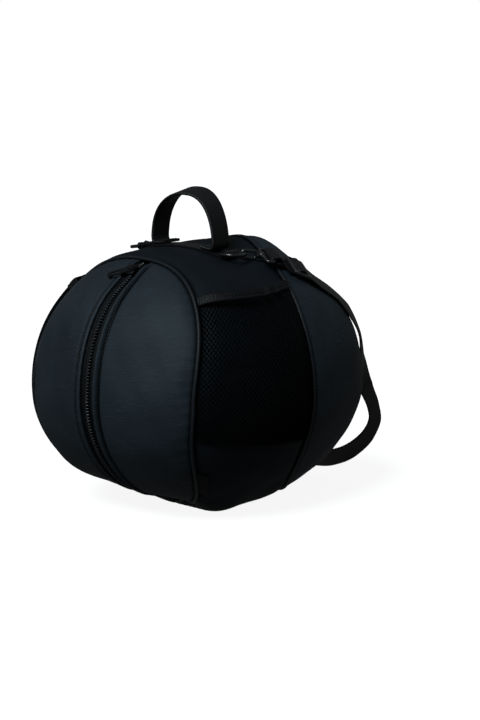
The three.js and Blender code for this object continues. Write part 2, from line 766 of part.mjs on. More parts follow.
// The free run of the strap on one side, from its upper end to the middle of the hanging loop
function strapRun(side) {
  const points = STRAP_ROUTE.map((row) => {
    if (row.height === null) {
      return topPoint(side * row.x, row.y, 1.6);
    }
    return new THREE.Vector3(side * row.x, row.y, row.height);
  });
  const turns = STRAP_ROUTE.map((row, i) => {
    if (row.turn === null) {
      const up = topNormal(side * row.x, row.y);
      const along = points[i + 1].clone().sub(points[i]).normalize();
      return up.cross(along).multiplyScalar(side).normalize().negate();
    }
    return new THREE.Vector3(side * row.turn[0], row.turn[1], row.turn[2]).normalize();
  });
  const curve = new THREE.CatmullRomCurve3(points, false, 'centripetal');
  const steps = 22;
  return Array.from({ length: steps + 1 }, (_, i) => {
    const share = (i / steps) * (points.length - 1);
    const row = Math.min(Math.floor(share), points.length - 2);
    const wide = turns[row].clone().lerp(turns[row + 1], share - row).normalize();
    return { point: curve.getPoint(i / steps), wide };
  });
}

function shoulderStrap() {
  const flip = (places) => places.map(({ point, wide }) => ({ point, wide: wide.clone().negate() }));
  const right = [...flip(strapEnd(1)), ...flip(strapThroughSlider()), ...strapRun(1)];
  const left = [...strapEnd(-1), ...strapRun(-1)].reverse();
  return webbing([...right, ...left.slice(1)], WEBBING, WEBBING_THICK);
}

// Label: a bare folded tab sewn in beside the front piping
function labelTab() {
  const surface = (lift) => (down, back) => {
    const angle = lerp(LABEL.from, LABEL.to, down) * DEG;
    const near = seamSwing(frontSeam, angle, SEAM_SIDE + 0.2);
    const swing = near + (back * LABEL.width) / HALF_WIDTH;
    return skinPoint(direction(angle, swing), lift);
  };
  return plate(5, 2, surface(GAP + LABEL.thick), surface(GAP));
}

const FINISH = {
  cloth: { color: 0x1f252b, roughness: 0.62, metalness: 0 },
  band: { color: 0x1b2025, roughness: 0.66, metalness: 0 },
  mesh: { color: 0x0b0d10, roughness: 0.8, metalness: 0 },
  trim: { color: 0x15181c, roughness: 0.55, metalness: 0 },
  webbing: { color: 0x14161a, roughness: 0.58, metalness: 0 },
  zip: { color: 0x101215, roughness: 0.45, metalness: 0 },
  hardware: { color: 0x0d0e10, roughness: 0.3, metalness: 0 },
};

const bag = new THREE.Group();

function add(name, geometry, finish) {
  const mesh = new THREE.Mesh(geometry, new THREE.MeshStandardMaterial(FINISH[finish]));
  mesh.name = name;
  bag.add(mesh);
}

for (const [word, side] of [['right', 1], ['left', -1]]) {
  add(`front_panel_${word}`, frontGore(side), 'cloth');
  add(`zip_tape_${word}`, zipTape(side), 'zip');
  add(`pocket_mesh_${word}`, pocketMesh(side), 'mesh');
  add(`pocket_hem_${word}`, pocketHem(side), 'trim');
  add(`d_ring_${word}`, dRing(side), 'hardware');
  add(`hook_${word}`, hook(side), 'hardware');
}
add('zip_coil', zipCoil(), 'zip');
add('zip_slider', zipSlider(), 'hardware');
add('zip_pull', zipPull(), 'hardware');
add('top_band', topBand(), 'band');
add('base_band', baseBand(), 'band');
add('back_panel', backDome(), 'cloth');
add('piping_front', piping(frontSeam), 'trim');
add('piping_back', piping(backSeam), 'trim');
add('ring_strip', ringStrip(), 'webbing');
add('handle', handle(), 'webbing');
add('shoulder_strap', shoulderStrap(), 'webbing');
add('strap_slider', strapSlider(), 'hardware');
add('label_tab', labelTab(), 'trim');

export default bag;
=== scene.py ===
"""A round sports bag for one ball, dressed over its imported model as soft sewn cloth."""
import math

import bmesh
import bpy
import numpy as np
from bpy.props import FloatProperty, FloatVectorProperty, PointerProperty
from mathutils import Matrix, Vector


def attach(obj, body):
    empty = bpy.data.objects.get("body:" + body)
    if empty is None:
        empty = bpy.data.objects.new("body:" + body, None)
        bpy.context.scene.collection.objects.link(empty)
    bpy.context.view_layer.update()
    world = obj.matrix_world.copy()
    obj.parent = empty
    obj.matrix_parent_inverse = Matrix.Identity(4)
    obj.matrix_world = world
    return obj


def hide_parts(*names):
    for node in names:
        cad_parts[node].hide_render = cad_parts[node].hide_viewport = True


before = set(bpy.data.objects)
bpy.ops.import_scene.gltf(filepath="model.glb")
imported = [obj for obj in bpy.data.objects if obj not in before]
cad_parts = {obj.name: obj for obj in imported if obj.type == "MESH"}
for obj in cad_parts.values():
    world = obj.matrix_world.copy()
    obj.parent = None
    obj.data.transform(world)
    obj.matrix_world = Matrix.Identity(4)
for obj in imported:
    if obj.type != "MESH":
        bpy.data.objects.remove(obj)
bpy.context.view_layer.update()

bl_info = {
    "name": "Ball Bag",
    "version": (1, 0, 0),
    "blender": (4, 5, 0),
    "location": "View3D > Sidebar > Ball Bag",
    "description": "Builds a filled, zipped ball bag with mesh pockets and a shoulder strap",
    "category": "Object",
}

# Body and seams in millimetres, as in the part's source; the piping is thinner and the cloth closer to it
HALF_WIDTH, HALF_LENGTH = 146.65, 160.2
RISE, DROP, CENTRE_HEIGHT = 142.0, 123.8, 118.0
PLAN_POWER, UPPER_POWER, LOWER_POWER = 2.57, 2.17, 1.94
CLOTH, MESH_THICK, GAP = 1.6, 1.2, 0.35
PIPING_RADIUS, PIPING_LIFT = 1.85, 0.85
SEAM_DIP, SEAM_DIP_WIDTH, SEAM_SIDE = 2.2, 9.0, 1.95
BOOT_ANGLE, BAND_SPLIT = math.radians(-17), 0.03

# Swells and dents of the skin: a place from the centre, a width and a height
SWELLS = np.array([
    (58, -40, -112, 26, 6), (-40, -75, -100, 40, -7), (10, 60, 135, 45, 5),
    (-62, -20, 125, 32, -4), (75, 70, 105, 34, -3), (60, -140, 40, 26, -2),
    (40, -135, -45, 24, 1.5), (-70, -135, 20, 28, -1.5), (0, -105, 112, 22, -2.5),
    (-4, -10, 142, 42, -5), (22, 52, 140, 26, 3.5), (-100, -68, 90, 50, -4),
    (-18, -62, -112, 30, -4), (70, 35, -105, 40, 3), (50, -14, 127, 40, -7.5),
    (30, 56, 132, 24, 2.5), (-108, -92, 35, 40, -3), (23, -72, -107, 22, -7),
    (-66, -108, -75, 36, 3), (-60, -60, 115, 25, 2.5), (70, 0, -108, 36, 1.5),
    (33, -60, -112, 15, -4),
], float)

# Painted shade beside the seams, its width on the domes and on the band, and the gathers there, which the part's
# source leaves out
DOME_PAINTED_SHADE_WIDTH, BAND_PAINTED_SHADE_WIDTH = 2.2, 2.6
PUCKER_WAVE, PUCKER_DECAY = 10.5, 9.0

# Front dome and zip; the fold's relief is its ridge, its groove and the shade painted into the groove, on the right
# and left
DOME_RADIUS, ZIP_TOP_RADIUS, ZIP_FOOT_RADIUS = 140, 125, 115
GORE_COLUMNS, GORE_ROWS = 200, 76
FOLD_RELIEF = {1: (2.2, 2.6, 1.0), -1: (0.9, 0.9, 0.6)}
FOLD_EDGE, TAPE_REACH = 8.4, 17.0
TAPE_HIGH = -CLOTH - 1.5 * GAP
TAPE_RIBS, TAPE_COLUMNS = (3.6, 5.2, 6.9), 200
ZIP_SLIDER_ANGLE = math.radians(51)
SLIDER_LENGTH, SLIDER_WIDTH, SLIDER_THICK = 13, 9.6, 1.8
PULL_LENGTH, PULL_WIDTH, PULL_THICK, PULL_HOLE = 28.75, 7.5, 1.3, 2.1

# Sections of a zip tooth: how far across, its low and high sides and its half width
TOOTH_SECTIONS = ((-0.7, -1.2, 0.1, 0.42), (-0.35, -1.5, 0.4, 0.56), (1.5, -1.65, 0.2, 0.56), (2.3, -1.6, -0.6, 0.45))

# Sections of a stitch: share of its length and of its thread's radius
STITCH_SECTIONS = ((0.0, 0.45), (0.2, 1.0), (0.8, 1.0), (1.0, 0.45))
THREAD_RADIUS, STITCH_SHARE, ZIP_STITCH_AWAY = 0.34, 0.72, 6.4

# Pockets, webbing and fittings
POCKET_TOP_FRONT, POCKET_TOP_BACK, POCKET_SAG = math.radians(50.5), math.radians(46.5), math.radians(5.5)
POCKET_SLACK, HEM_SHARE, HEM_THICK, HEM_STITCH = 7.5, 11 / 160, 2.4, 0.27
POCKET_WIDE, POCKET_TALL, CELL_TALL = 0.148, 0.150, 1.25
GATHER_COUNT, GATHER_HEIGHT = 6.5, 2.2
WEBBING, WEBBING_THICK = 25.0, 1.6
HANDLE_HALF, HANDLE_Y, HANDLE_TOP, HANDLE_THICK, HANDLE_TILT = 39.0, -13.0, 309.5, 3.0, 0.24
HANDLE_ARCH_RIGHT, HANDLE_ARCH_LEFT, HANDLE_STEPS = (0.8, 1.05), (0.95, 0.87), 23
RING_Y, RING_BAR_X, RING_WIRE, RING_HALF_BAR, RING_DEPTH = -17.0, 54.0, 1.75, 12.6, 14.5
STRIP_WIDTH, STRIP_LIFT = 20.0, 0.8
EYE_INNER = RING_WIRE + GAP
EYE_OUTER = EYE_INNER + WEBBING_THICK
HOOK_X, HOOK_Y, HOOK_LIFT, HOOK_REACH, HOOK_WIRE = 63.5, -8.5, 8.6, 27.0, 1.6
EYE_HALF, EYE_LENGTH, EYE_WIRE = 14.8, 8.0, 1.7
TAB_ANGLES, TAB_DEPTH, TAB_THICK = (-35.5, -50.5), 11, 1.2
ADJUSTER_LENGTH, ADJUSTER_WIDTH, ADJUSTER_THICK, ADJUSTER_LIFT = 21, 31.6, 2.6, 5.4
ADJUSTER_PLACE, ADJUSTER_FROM, ADJUSTER_TO = (91, 38), (82, 18), (98, 60)

# The strap's way through its adjuster, and behind the bag: places, without a height on the bag itself, and ways across
STRAP_WEAVE = [(-13, -1), (-6.9, -1), (-2.1, 1), (2.1, 1), (6.9, -1), (13, -1)]
STRAP_ROUTE = [
    (99, 63, None, None), (103, 88, None, None),
    (107.5, 107, 186, (0.62, -0.6, -0.5)), (100.8, 133.5, 160.4, (0.53, -0.84, 0.14)),
    (96, 146.5, 132.7, (0.46, -0.88, 0.12)), (95.4, 153.8, 104.6, (0.05, -0.99, -0.14)),
    (103.2, 156.3, 84.1, (0.12, -0.99, -0.03)), (105.4, 156.4, 68.5, (0.07, -0.96, 0.26)),
    (98.4, 151.2, 50.5, (0.15, -0.81, 0.56)), (79.4, 146.9, 33.7, (0.22, -0.72, 0.65)),
    (53.2, 148.4, 23.4, (0.35, -0.63, 0.7)), (24, 153.6, 18.6, (0.16, -0.64, 0.75)),
    (0, 154.8, 17.6, (0, -0.64, 0.77)),
]
SIDES = (("right", 1), ("left", -1))

# Axes of the photograph's camera, and the suns by their way along them, strength and angle
VIEW_RIGHT, VIEW_UP = Vector((0.7577, 0.6527, 0)), Vector((-0.1026, 0.1191, 0.9876))
VIEW_BACK = Vector((0.6446, -0.7483, 0.1572))
AIM_RIGHT, AIM_UP, LENS = 0.041, 0.021, 80
SUNS = (("key", (-0.42, 0.72, 0.78), 2.9, 0.5), ("over", (0.6, 0.8, -0.4), 0.06, 0.7))
SUN_COLOUR, FLOOR_GLOW, WORLD_LIGHT = (0.87, 0.96, 1.0), 0.905, 0.09


# Form of the filled body
def lerp(a, b, share):
    return a + (b - a) * share


def smooth(start, end, value):
    share = np.clip((value - start) / (end - start), 0, 1)
    return share * share * (3 - 2 * share)


def unit(rows):
    rows = np.asarray(rows, float)
    return rows / np.linalg.norm(rows, axis=-1, keepdims=True)


def bell(distance, width, power=2):
    return np.exp(-((distance / width) ** power))


def eased(count):
    """Shares from 0 to 1 that lie closer together at both ends."""
    return 0.5 - 0.5 * np.cos(math.pi * np.linspace(0, 1, count))


def full_turn(count):
    return np.linspace(0, 2 * math.pi, count, endpoint=False)


def vectors(x, y, z):
    return np.stack(np.broadcast_arrays(x, y, z), -1)


def bisected(short, low, high, rounds):
    """Both sides of the place where a measure stops being short."""
    for _ in range(rounds):
        middle = (low + high) / 2
        below = short(middle)
        low, high = np.where(below, middle, low), np.where(below, high, middle)
    return low, high


def seam_line(angle, side, top, bottom, upper_power, lower_power):
    """Place along the bag of a seam round it, from its sides to its top and bottom."""
    rise = np.sin(angle)
    end = np.where(rise >= 0, top, bottom)
    power = np.where(rise >= 0, upper_power, lower_power)
    return side + (end - side) * np.abs(rise) ** power


def front_seam(angle):
    off = (np.degrees(angle) - 120 + 180) % 360 - 180
    return seam_line(angle, -128, -79, -48, 2, 2.6) + 15 * bell(off, 28)


def back_seam(angle):
    return seam_line(angle, -3, 45, 77, 4, 3.2)


def skin_reach(ray):
    """How far the filled skin lies from the bag's centre along unit rays."""
    x, y, z = ray[..., 0], ray[..., 1], ray[..., 2]
    power = np.where(z >= 0, UPPER_POWER, LOWER_POWER)
    tall = np.where(z >= 0, RISE, DROP)
    plan = np.abs(x / HALF_WIDTH) ** PLAN_POWER + np.abs(y / HALF_LENGTH) ** PLAN_POWER
    reach = (plan ** (power / PLAN_POWER) + np.abs(z / tall) ** power) ** (-1 / power)
    angle = np.arctan2(z, x)
    dips = bell(reach * y - front_seam(angle), SEAM_DIP_WIDTH) + bell(reach * y - back_seam(angle), SEAM_DIP_WIDTH)
    for swell in SWELLS:
        length = np.linalg.norm(swell[:3])
        away = np.arccos(np.clip(ray @ swell[:3] / length, -1, 1)) * length
        reach = reach + swell[4] * bell(away, swell[3])
    return reach - SEAM_DIP * dips


def skin_point(ray, lift):
    """Points at a lift over the skin, flattened on the floor."""
    lift = np.asarray(lift, float)
    point = ray * (skin_reach(ray) + lift)[..., None]
    height = point[..., 2] + CENTRE_HEIGHT
    point[..., 2] = np.maximum(height, np.maximum(0, -lift))
    return point


def direction(angle, swing):
    """Rays by their angle round the bag's length and their swing from front to back."""
    ring = np.sin(swing)
    return vectors(ring * np.cos(angle), -np.cos(swing), ring * np.sin(angle))


def swing_at(angle, y):
    """The swing at which the skin reaches a place along the bag."""
    def short(swing):
        ray = direction(angle, swing)
        return ray[..., 1] * skin_reach(ray) < y

    low, high = bisected(short, np.zeros_like(angle), np.full_like(angle, math.pi), 36)
    return (low + high) / 2


# Each seam as a table of its swing by angle, and of how far a millimetre square to it swings
SEAM_ANGLES = np.linspace(-math.pi, math.pi, 1441)


def seam_table(seam):
    """A seam's swing, and its swing for a millimetre to the side, at each table angle."""
    swing = swing_at(SEAM_ANGLES, seam(SEAM_ANGLES))
    step = SEAM_ANGLES[1] - SEAM_ANGLES[0]
    slope = (np.roll(swing[:-1], -1) - np.roll(swing[:-1], 1)) / (2 * step)
    slope = np.append(slope, slope[0])
    per_mm = np.hypot(1, slope / np.sin(swing)) / skin_reach(direction(SEAM_ANGLES, swing))
    return swing, per_mm


FRONT, BACK = seam_table(front_seam), seam_table(back_seam)


def seam_swing(table, angle, side):
    """Swing of a seam, or of the line that lies some millimetres to its side."""
    turn = (np.asarray(angle) + math.pi) % (2 * math.pi) - math.pi
    return np.interp(turn, SEAM_ANGLES, table[0]) + side * np.interp(turn, SEAM_ANGLES, table[1])


def top_point(x, y, lift):
    """The point of the upper skin over a place in plan."""
    x, y = np.broadcast_arrays(np.asarray(x, float), np.asarray(y, float))

    def short(z):
        ray = np.stack([x, y, z], -1)
        length = np.linalg.norm(ray, axis=-1)
        return length < skin_reach(ray / length[..., None]) + lift

    low, _ = bisected(short, np.zeros(x.shape), np.full(x.shape, 2 * RISE), 40)
    return np.stack([x, y, low + CENTRE_HEIGHT], -1)


def top_normal(x, y):
    """The way out of the upper skin over a place in plan."""
    along_x = top_point(x + 2, y, 0) - top_point(x - 2, y, 0)
    along_y = top_point(x, y + 2, 0) - top_point(x, y - 2, 0)
    return unit(np.cross(along_x, along_y))


def slack(points, height=0.5):
    """Gentle unevenness of stuffed cloth, as a few long seeded waves."""
    seeded = np.random.default_rng(7)
    total = np.zeros(points.shape[:-1])
    for _ in range(7):
        wave = unit(seeded.normal(size=3)) * 2 * math.pi / seeded.uniform(28, 75)
        total += np.sin(points @ wave + seeded.uniform(0, 6.28))
    return height * total / 2.6


def pucker(distance, along, height, wave=PUCKER_WAVE):
    """Small gathers that a row of sewing draws into the cloth beside it."""
    drift = 1.3 * np.sin(along / 23) + 0.8 * np.sin(along / 9.7)
    return height * np.exp(-distance / PUCKER_DECAY) * np.sin(2 * math.pi * along / wave + drift)


def cloth_layers(ray, lift):
    """Outer and inner points of cloth that lies at a lift over the skin."""
    return skin_point(ray, lift), skin_point(ray, np.minimum(lift, 0) - CLOTH)


def run_length(points):
    """Millimetres from the first of a row of points to each of them."""
    return np.concatenate([[0], np.cumsum(np.linalg.norm(np.diff(points, axis=0), axis=-1))])


def spread_rows(rows, count):
    """A table of vectors at a number of even places along it."""
    at = np.linspace(0, len(rows) - 1, count)
    return np.stack([np.interp(at, np.arange(len(rows)), rows[:, i]) for i in range(3)], -1)


# Meshes
def deselect():
    if bpy.context.object and bpy.context.object.mode != "OBJECT":
        bpy.ops.object.mode_set(mode="OBJECT")
    bpy.ops.object.select_all(action="DESELECT")


def activate(piece):
    deselect()
    piece.select_set(True)
    bpy.context.view_layer.objects.active = piece


def shaded(piece, angle):
    """Shades a piece smooth but for edges sharper than an angle in degrees."""
    activate(piece)
    bpy.ops.object.shade_smooth_by_angle(angle=math.radians(angle))


def modified(piece, name, kind, **settings):
    """Gives a piece a modifier and applies it."""
    activate(piece)
    modifier = piece.modifiers.new(name, kind)
    for setting, value in settings.items():
        setattr(modifier, setting, value)
    bpy.ops.object.modifier_apply(modifier=modifier.name)


def joined(pieces):
    """Joins pieces into the first of them."""
    activate(pieces[0])
    for piece in pieces[1:]:
        piece.select_set(True)
    bpy.ops.object.join()
    return pieces[0]


def sewn(name, points, faces, lay=None, angle=50, crease=None):
    """A closed mesh from millimetre points, its doubles merged, facing out, smooth up to an angle."""
    mesh = bpy.data.meshes.new(name)
    mesh.from_pydata((np.asarray(points) / 1000).tolist(), [], faces)
    if lay is not None:
        kept = mesh.attributes.new("lay", "FLOAT_VECTOR", "POINT")
        kept.data.foreach_set("vector", np.ascontiguousarray(lay, np.float32).ravel())
    # Per-point share of painted shade for grooves and seams, which darkens the cloth's colour
    if crease is not None:
        kept = mesh.attributes.new("crease", "FLOAT", "POINT")
        kept.data.foreach_set("value", np.ascontiguousarray(crease, np.float32))
    shape = bmesh.new()
    shape.from_mesh(mesh)
    bmesh.ops.remove_doubles(shape, verts=shape.verts, dist=2e-6)
    bmesh.ops.dissolve_degenerate(shape, edges=shape.edges, dist=1e-7)
    bmesh.ops.recalc_face_normals(shape, faces=shape.faces)
    shape.to_mesh(mesh)
    shape.free()
    piece = bpy.data.objects.new(name, mesh)
    bpy.context.scene.collection.objects.link(piece)
    shaded(piece, angle)
    return piece


def plate_faces(columns, rows, round_plate=False):
    """Faces of an outer and an inner layer of columns by rows points, with the rim between them."""
    index = np.arange(columns * rows).reshape(columns, rows)
    if round_plate:
        index = np.vstack([index, index[:1]])
    layer = columns * rows
    a, b, c, d = index[:-1, :-1], index[1:, :-1], index[1:, 1:], index[:-1, 1:]
    outer = np.stack([a, b, c, d], -1).reshape(-1, 4)
    inner = np.stack([a, d, c, b], -1).reshape(-1, 4) + layer
    faces = [outer, inner]
    for row, flip in ((0, False), (-1, True)):
        near, far = index[:-1, row], index[1:, row]
        rim = np.stack([near, near + layer, far + layer, far], -1)
        faces.append(rim[:, ::-1] if flip else rim)
    if not round_plate:
        for column, flip in ((0, True), (-1, False)):
            near, far = index[column, :-1], index[column, 1:]
            rim = np.stack([near, near + layer, far + layer, far], -1)
            faces.append(rim[:, ::-1] if flip else rim)
    return np.vstack(faces).tolist()


def grid_lay(points):
    """Millimetres across and along a grid of points, for woven patterns that follow the cloth."""
    lay = np.zeros(points.shape)
    lay[:, 1:, 0] = np.cumsum(np.linalg.norm(np.diff(points, axis=1), axis=-1), axis=1)
    lay[..., 1] = run_length(points[:, points.shape[1] // 2])[:, None]
    return lay


def cloth_plate(name, outer, inner, round_plate=False, angle=50, crease=None):
    """A closed piece of cloth from grids of outer and inner points, with how much painted shade darkens each in
    creases.
    """
    lay = np.tile(grid_lay(outer).reshape(-1, 3), (2, 1))
    if crease is not None:
        crease = np.tile(np.broadcast_to(crease, outer.shape[:2]).ravel(), 2)
    points = np.concatenate([outer.reshape(-1, 3), inner.reshape(-1, 3)])
    return sewn(name, points, plate_faces(*outer.shape[:2], round_plate), lay, angle, crease)


def sweep_faces(count, sides, ring):
    """Faces between sections of a sweep, closed as a ring or by its two ends."""
    index = np.arange(count * sides).reshape(count, sides)
    rows = np.vstack([index, index[:1]]) if ring else index
    a, d = rows[:-1], rows[1:]
    b, c = np.roll(a, -1, axis=1), np.roll(d, -1, axis=1)
    faces = np.stack([a, d, c, b], -1).reshape(-1, 4).tolist()
    if not ring:
        faces += [index[0].tolist(), index[-1][::-1].tolist()]
    return faces


# A closed prism of four rings of six corners, for stitches and teeth
PRISM = sweep_faces(4, 6, False)


def swept(name, points, wide, profile, across_lay, ring=False, angle=50):
    """A closed sweep along points of a profile, given as places across and out, and the sweep's length."""
    if ring:
        along = unit(np.roll(points, -1, axis=0) - np.roll(points, 1, axis=0))
    else:
        along = unit(np.gradient(points, axis=0))
    across = unit(wide - np.sum(wide * along, -1, keepdims=True) * along)
    out = np.cross(along, across)
    sections = points[:, None] + across[:, None] * profile[None, :, :1] + out[:, None] * profile[None, :, 1:]
    length = run_length(points)
    lay = np.zeros(sections.shape)
    lay[..., 0] = across_lay
    lay[..., 1] = length[:, None]
    faces = sweep_faces(len(points), len(profile), ring)
    return sewn(name, sections.reshape(-1, 3), faces, lay.reshape(-1, 3), angle), length[-1]


def ribbon(name, points, wide, width, thick):
    """Flat webbing with rounded edges along a row of points, and its length."""
    half, round_edge = width / 2, thick / 2
    turn = np.linspace(-math.pi / 2, math.pi / 2, 6)
    flat = np.linspace(-1, 1, 9)[1:-1] * (half - round_edge)
    profile = [(half - round_edge + round_edge * math.cos(t), round_edge * math.sin(t)) for t in turn]
    profile += [(w, round_edge) for w in flat[::-1]]
    profile += [(-w, -h) for w, h in profile[:6]]
    profile += [(w, -round_edge) for w in flat]
    profile = np.array(profile)
    return swept(name, points, wide, profile, profile[:, 0])


def curve_through(points, steps):
    """A centripetal curve through points, with the same number of steps in each span."""
    points = np.asarray(points, float)
    padded = np.vstack([2 * points[0] - points[1], points, 2 * points[-1] - points[-2]])
    rows = []
    for i in range(len(points) - 1):
        p0, p1, p2, p3 = padded[i:i + 4]
        d0, d1, d2 = (max(np.linalg.norm(b - a), 1e-4) ** 0.5 for a, b in ((p0, p1), (p1, p2), (p2, p3)))
        t1 = ((p1 - p0) / d0 - (p2 - p0) / (d0 + d1) + (p2 - p1) / d1) * d1
        t2 = ((p2 - p1) / d1 - (p3 - p1) / (d1 + d2) + (p3 - p2) / d2) * d1
        t = (np.arange(steps) / steps)[:, None]
        square, cube = -3 * p1 + 3 * p2 - 2 * t1 - t2, 2 * p1 - 2 * p2 + t1 + t2
        rows.append(p1 + t1 * t + square * t ** 2 + cube * t ** 3)
    return np.vstack(rows + [points[-1:]])


def stitches(name, rows):
    """Thread stitches along rows of millimetre points; each row is points and the way out of the cloth."""
    corners, faces = [], []
    for points, out in rows:
        for i in range(len(points) - 1):
            start, end = points[i], lerp(points[i], points[i + 1], STITCH_SHARE)
            along = unit(end - start)
            up = unit(out[i] - np.dot(out[i], along) * along)
            across = np.cross(along, up)
            faces += [[len(corners) + corner for corner in face] for face in PRISM]
            for at, size in STITCH_SECTIONS:
                radius = THREAD_RADIUS * size
                middle = lerp(start, end, at) + up * (0.55 * radius - 0.1)
                corners += [middle + radius * (math.cos(t) * across + math.sin(t) * up) for t in full_turn(6)]
    return sewn(name, corners, faces, angle=60)


def evenly(points, pitch):
    """The same line at even steps of about the given pitch."""
    length = run_length(points)
    count = max(2, int(round(length[-1] / pitch)) + 1)
    at = np.linspace(0, length[-1], count)
    return np.stack([np.interp(at, length, points[:, i]) for i in range(3)], -1)


def from_centre(points):
    """The way out of the body at points on it."""
    return unit(points - np.array([0, 0, CENTRE_HEIGHT]))


def dressed(piece, look, slot, *nodes):
    """Gives a finished piece its finish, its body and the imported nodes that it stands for."""
    piece.data.materials.clear()
    piece.data.materials.append(finish(look))
    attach(piece, "root")
    if nodes:
        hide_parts(*nodes)


def placed(piece, along, across, up, origin):
    """Moves a piece's mesh, modelled in millimetres about the origin, into its place."""
    turn = Matrix((along, across, up)).transposed().to_4x4()
    piece.data.transform(Matrix.Translation(Vector(origin) / 1000) @ turn @ Matrix.Scale(0.001, 4))
    piece.data.update()
    return piece


# How much unevenness and threads show in a finish's tone and relief, and how dark the shade painted into its creases
# is
TONE_SHARE, THREAD_SHARE, FLECK_RELIEF, PICK_RELIEF, PAINTED_SHADE_TONE = 0.6, 0.4, 0.35, 0.8, 0.08

# Finishes: a colour setting, spread of tones, roughness, threads across and along in millimetres, shine and relief,
# and whether creases take painted shade
PLAIN = {
    "spread": 0.28, "weave": None, "depth": 0.0003, "picks": 0.0, "tint": (1.0, 1.0, 1.0), "paints_crease_shade": False,
}
FINISHES = {
    "Dome Cloth": {
        "colour": "dome", "spread": 0.4, "rough": (0.57, 0.68), "weave": (1.1, 1.1), "specular": 0.24, "bump": 0.34,
        "picks": 0.75, "tint": (0.8, 0.95, 1.0), "paints_crease_shade": True,
    },
    "Band Cloth": {
        "colour": "band", "rough": (0.56, 0.68), "weave": (1.1, 1.1), "specular": 0.1, "bump": 0.2,
        "picks": 0.4, "tint": (0.8, 0.93, 1.0), "paints_crease_shade": True,
    },
    "Piping Cloth": {"colour": "piping", "rough": (0.42, 0.52), "weave": (1.4, 1.1), "specular": 0.22, "bump": 0.25},
    "Net Yarn": {"colour": "net", "rough": (0.55, 0.7), "specular": 0.04, "bump": 0.3},
    "Hem Binding": {"colour": "hem", "rough": (0.45, 0.6), "weave": (1.0, 1.9), "specular": 0.12, "bump": 0.4},
    "Zip Tape": {"colour": "tape", "rough": (0.45, 0.6), "weave": (1.3, 0.7), "specular": 0.1, "bump": 0.4},
    "Coil Nylon": {"colour": "teeth", "rough": (0.34, 0.46), "specular": 0.45, "bump": 0.15},
    "Zip Lacquer": {"colour": "tape", "rough": (0.34, 0.46), "specular": 0.2, "bump": 0.1, "depth": 0.0002},
    "Strap Webbing": {
        "colour": "webbing", "spread": 0.35, "rough": (0.38, 0.52), "weave": (2.1, 1.5), "specular": 0.28,
        "bump": 0.55, "depth": 0.0004,
    },
    "Fitting Plastic": {"colour": "fitting", "rough": (0.2, 0.32), "specular": 0.7, "bump": 0.1, "depth": 0.0002},
    "Tab Weave": {
        "colour": "net", "spread": 0.2, "rough": (0.5, 0.65), "weave": (0.7, 0.7), "specular": 0.15, "bump": 0.3,
    },
    "Sewing Thread": {"colour": "thread", "rough": (0.45, 0.6), "specular": 0.4, "bump": 0.2},
}


def wire(tree, node, values):
    """Links inputs of a node to other nodes' outputs, or sets them to constants."""
    for name, value in values.items():
        if isinstance(value, bpy.types.NodeSocket):
            tree.links.new(value, node.inputs[name])
        else:
            node.inputs[name].default_value = value


def new_node(tree, kind, values=None, **settings):
    """A new shader node with its settings and inputs."""
    node = tree.nodes.new("ShaderNode" + kind)
    for setting, value in settings.items():
        setattr(node, setting, value)
    wire(tree, node, values or {})
    return node


def math_node(tree, operation, *values):
    return new_node(tree, "Math", dict(enumerate(values)), operation=operation).outputs[0]


def new_group(name, taken, given):
    """A node group that takes numbers by default, or vectors where that is None, and gives numbers."""
    group = bpy.data.node_groups.new(name, "ShaderNodeTree")
    for label, default in taken.items():
        kind = "NodeSocketVector" if default is None else "NodeSocketFloat"
        socket = group.interface.new_socket(name=label, in_out="INPUT", socket_type=kind)
        if default is not None:
            socket.default_value = default
    for label in given:
        group.interface.new_socket(name=label, in_out="OUTPUT", socket_type="NodeSocketFloat")
    return group, group.nodes.new("NodeGroupInput").outputs, group.nodes.new("NodeGroupOutput")


def group_node(tree, make, name, values):
    """A node of a shared group, which is made when it is first asked for."""
    group = bpy.data.node_groups.get(name) or make(name)
    return new_node(tree, "Group", values, node_tree=group)


def woven_threads(name):
    """Over and under threads from millimetres along and across the cloth."""
    group, taken, given = new_group(name, {"Lay": None, "Across": 0.8, "Along": 0.8}, ["Height"])
    parts = new_node(group, "SeparateXYZ", {0: taken["Lay"]})
    waves = []
    for axis, pitch in enumerate(("Across", "Along")):
        turns = math_node(group, "DIVIDE", parts.outputs[axis], taken[pitch])
        waves.append(math_node(group, "SINE", math_node(group, "MULTIPLY", turns, 2 * math.pi)))
    product = math_node(group, "MULTIPLY", *waves)
    wire(group, given, {"Height": math_node(group, "MULTIPLY_ADD", product, 0.5, 0.5)})
    return group


def thick_picks(name):
    """Short thicker weft threads here and there, from millimetres along and across the cloth."""
    group, taken, given = new_group(name, {"Lay": None}, ["Pick"])
    stretch = new_node(group, "VectorMath", {0: taken["Lay"], 1: (0.07, 0.85, 0)}, operation="MULTIPLY")
    noise = new_node(group, "TexNoise", {"Vector": stretch.outputs[0], "Scale": 1.0, "Detail": 1.5})
    pick = new_node(group, "MapRange", {"Value": noise.outputs["Fac"], "From Min": 0.56, "From Max": 0.74})
    wire(group, given, {"Pick": pick.outputs["Result"]})
    return group


def worn_tone(name):
    """Slow and fine unevenness of dye and handling."""
    group, taken, given = new_group(name, {"Place": None, "Broad": 18.0, "Fine": 900.0}, ["Tone", "Fleck"])
    for scale, detail, label in (("Broad", 3.0, "Tone"), ("Fine", 2.0, "Fleck")):
        noise = new_node(group, "TexNoise", {"Vector": taken["Place"], "Scale": taken[scale], "Detail": detail})
        spread = new_node(group, "MapRange", {"Value": noise.outputs["Fac"], "From Min": 0.3, "From Max": 0.7})
        wire(group, given, {label: spread.outputs["Result"]})
    return group


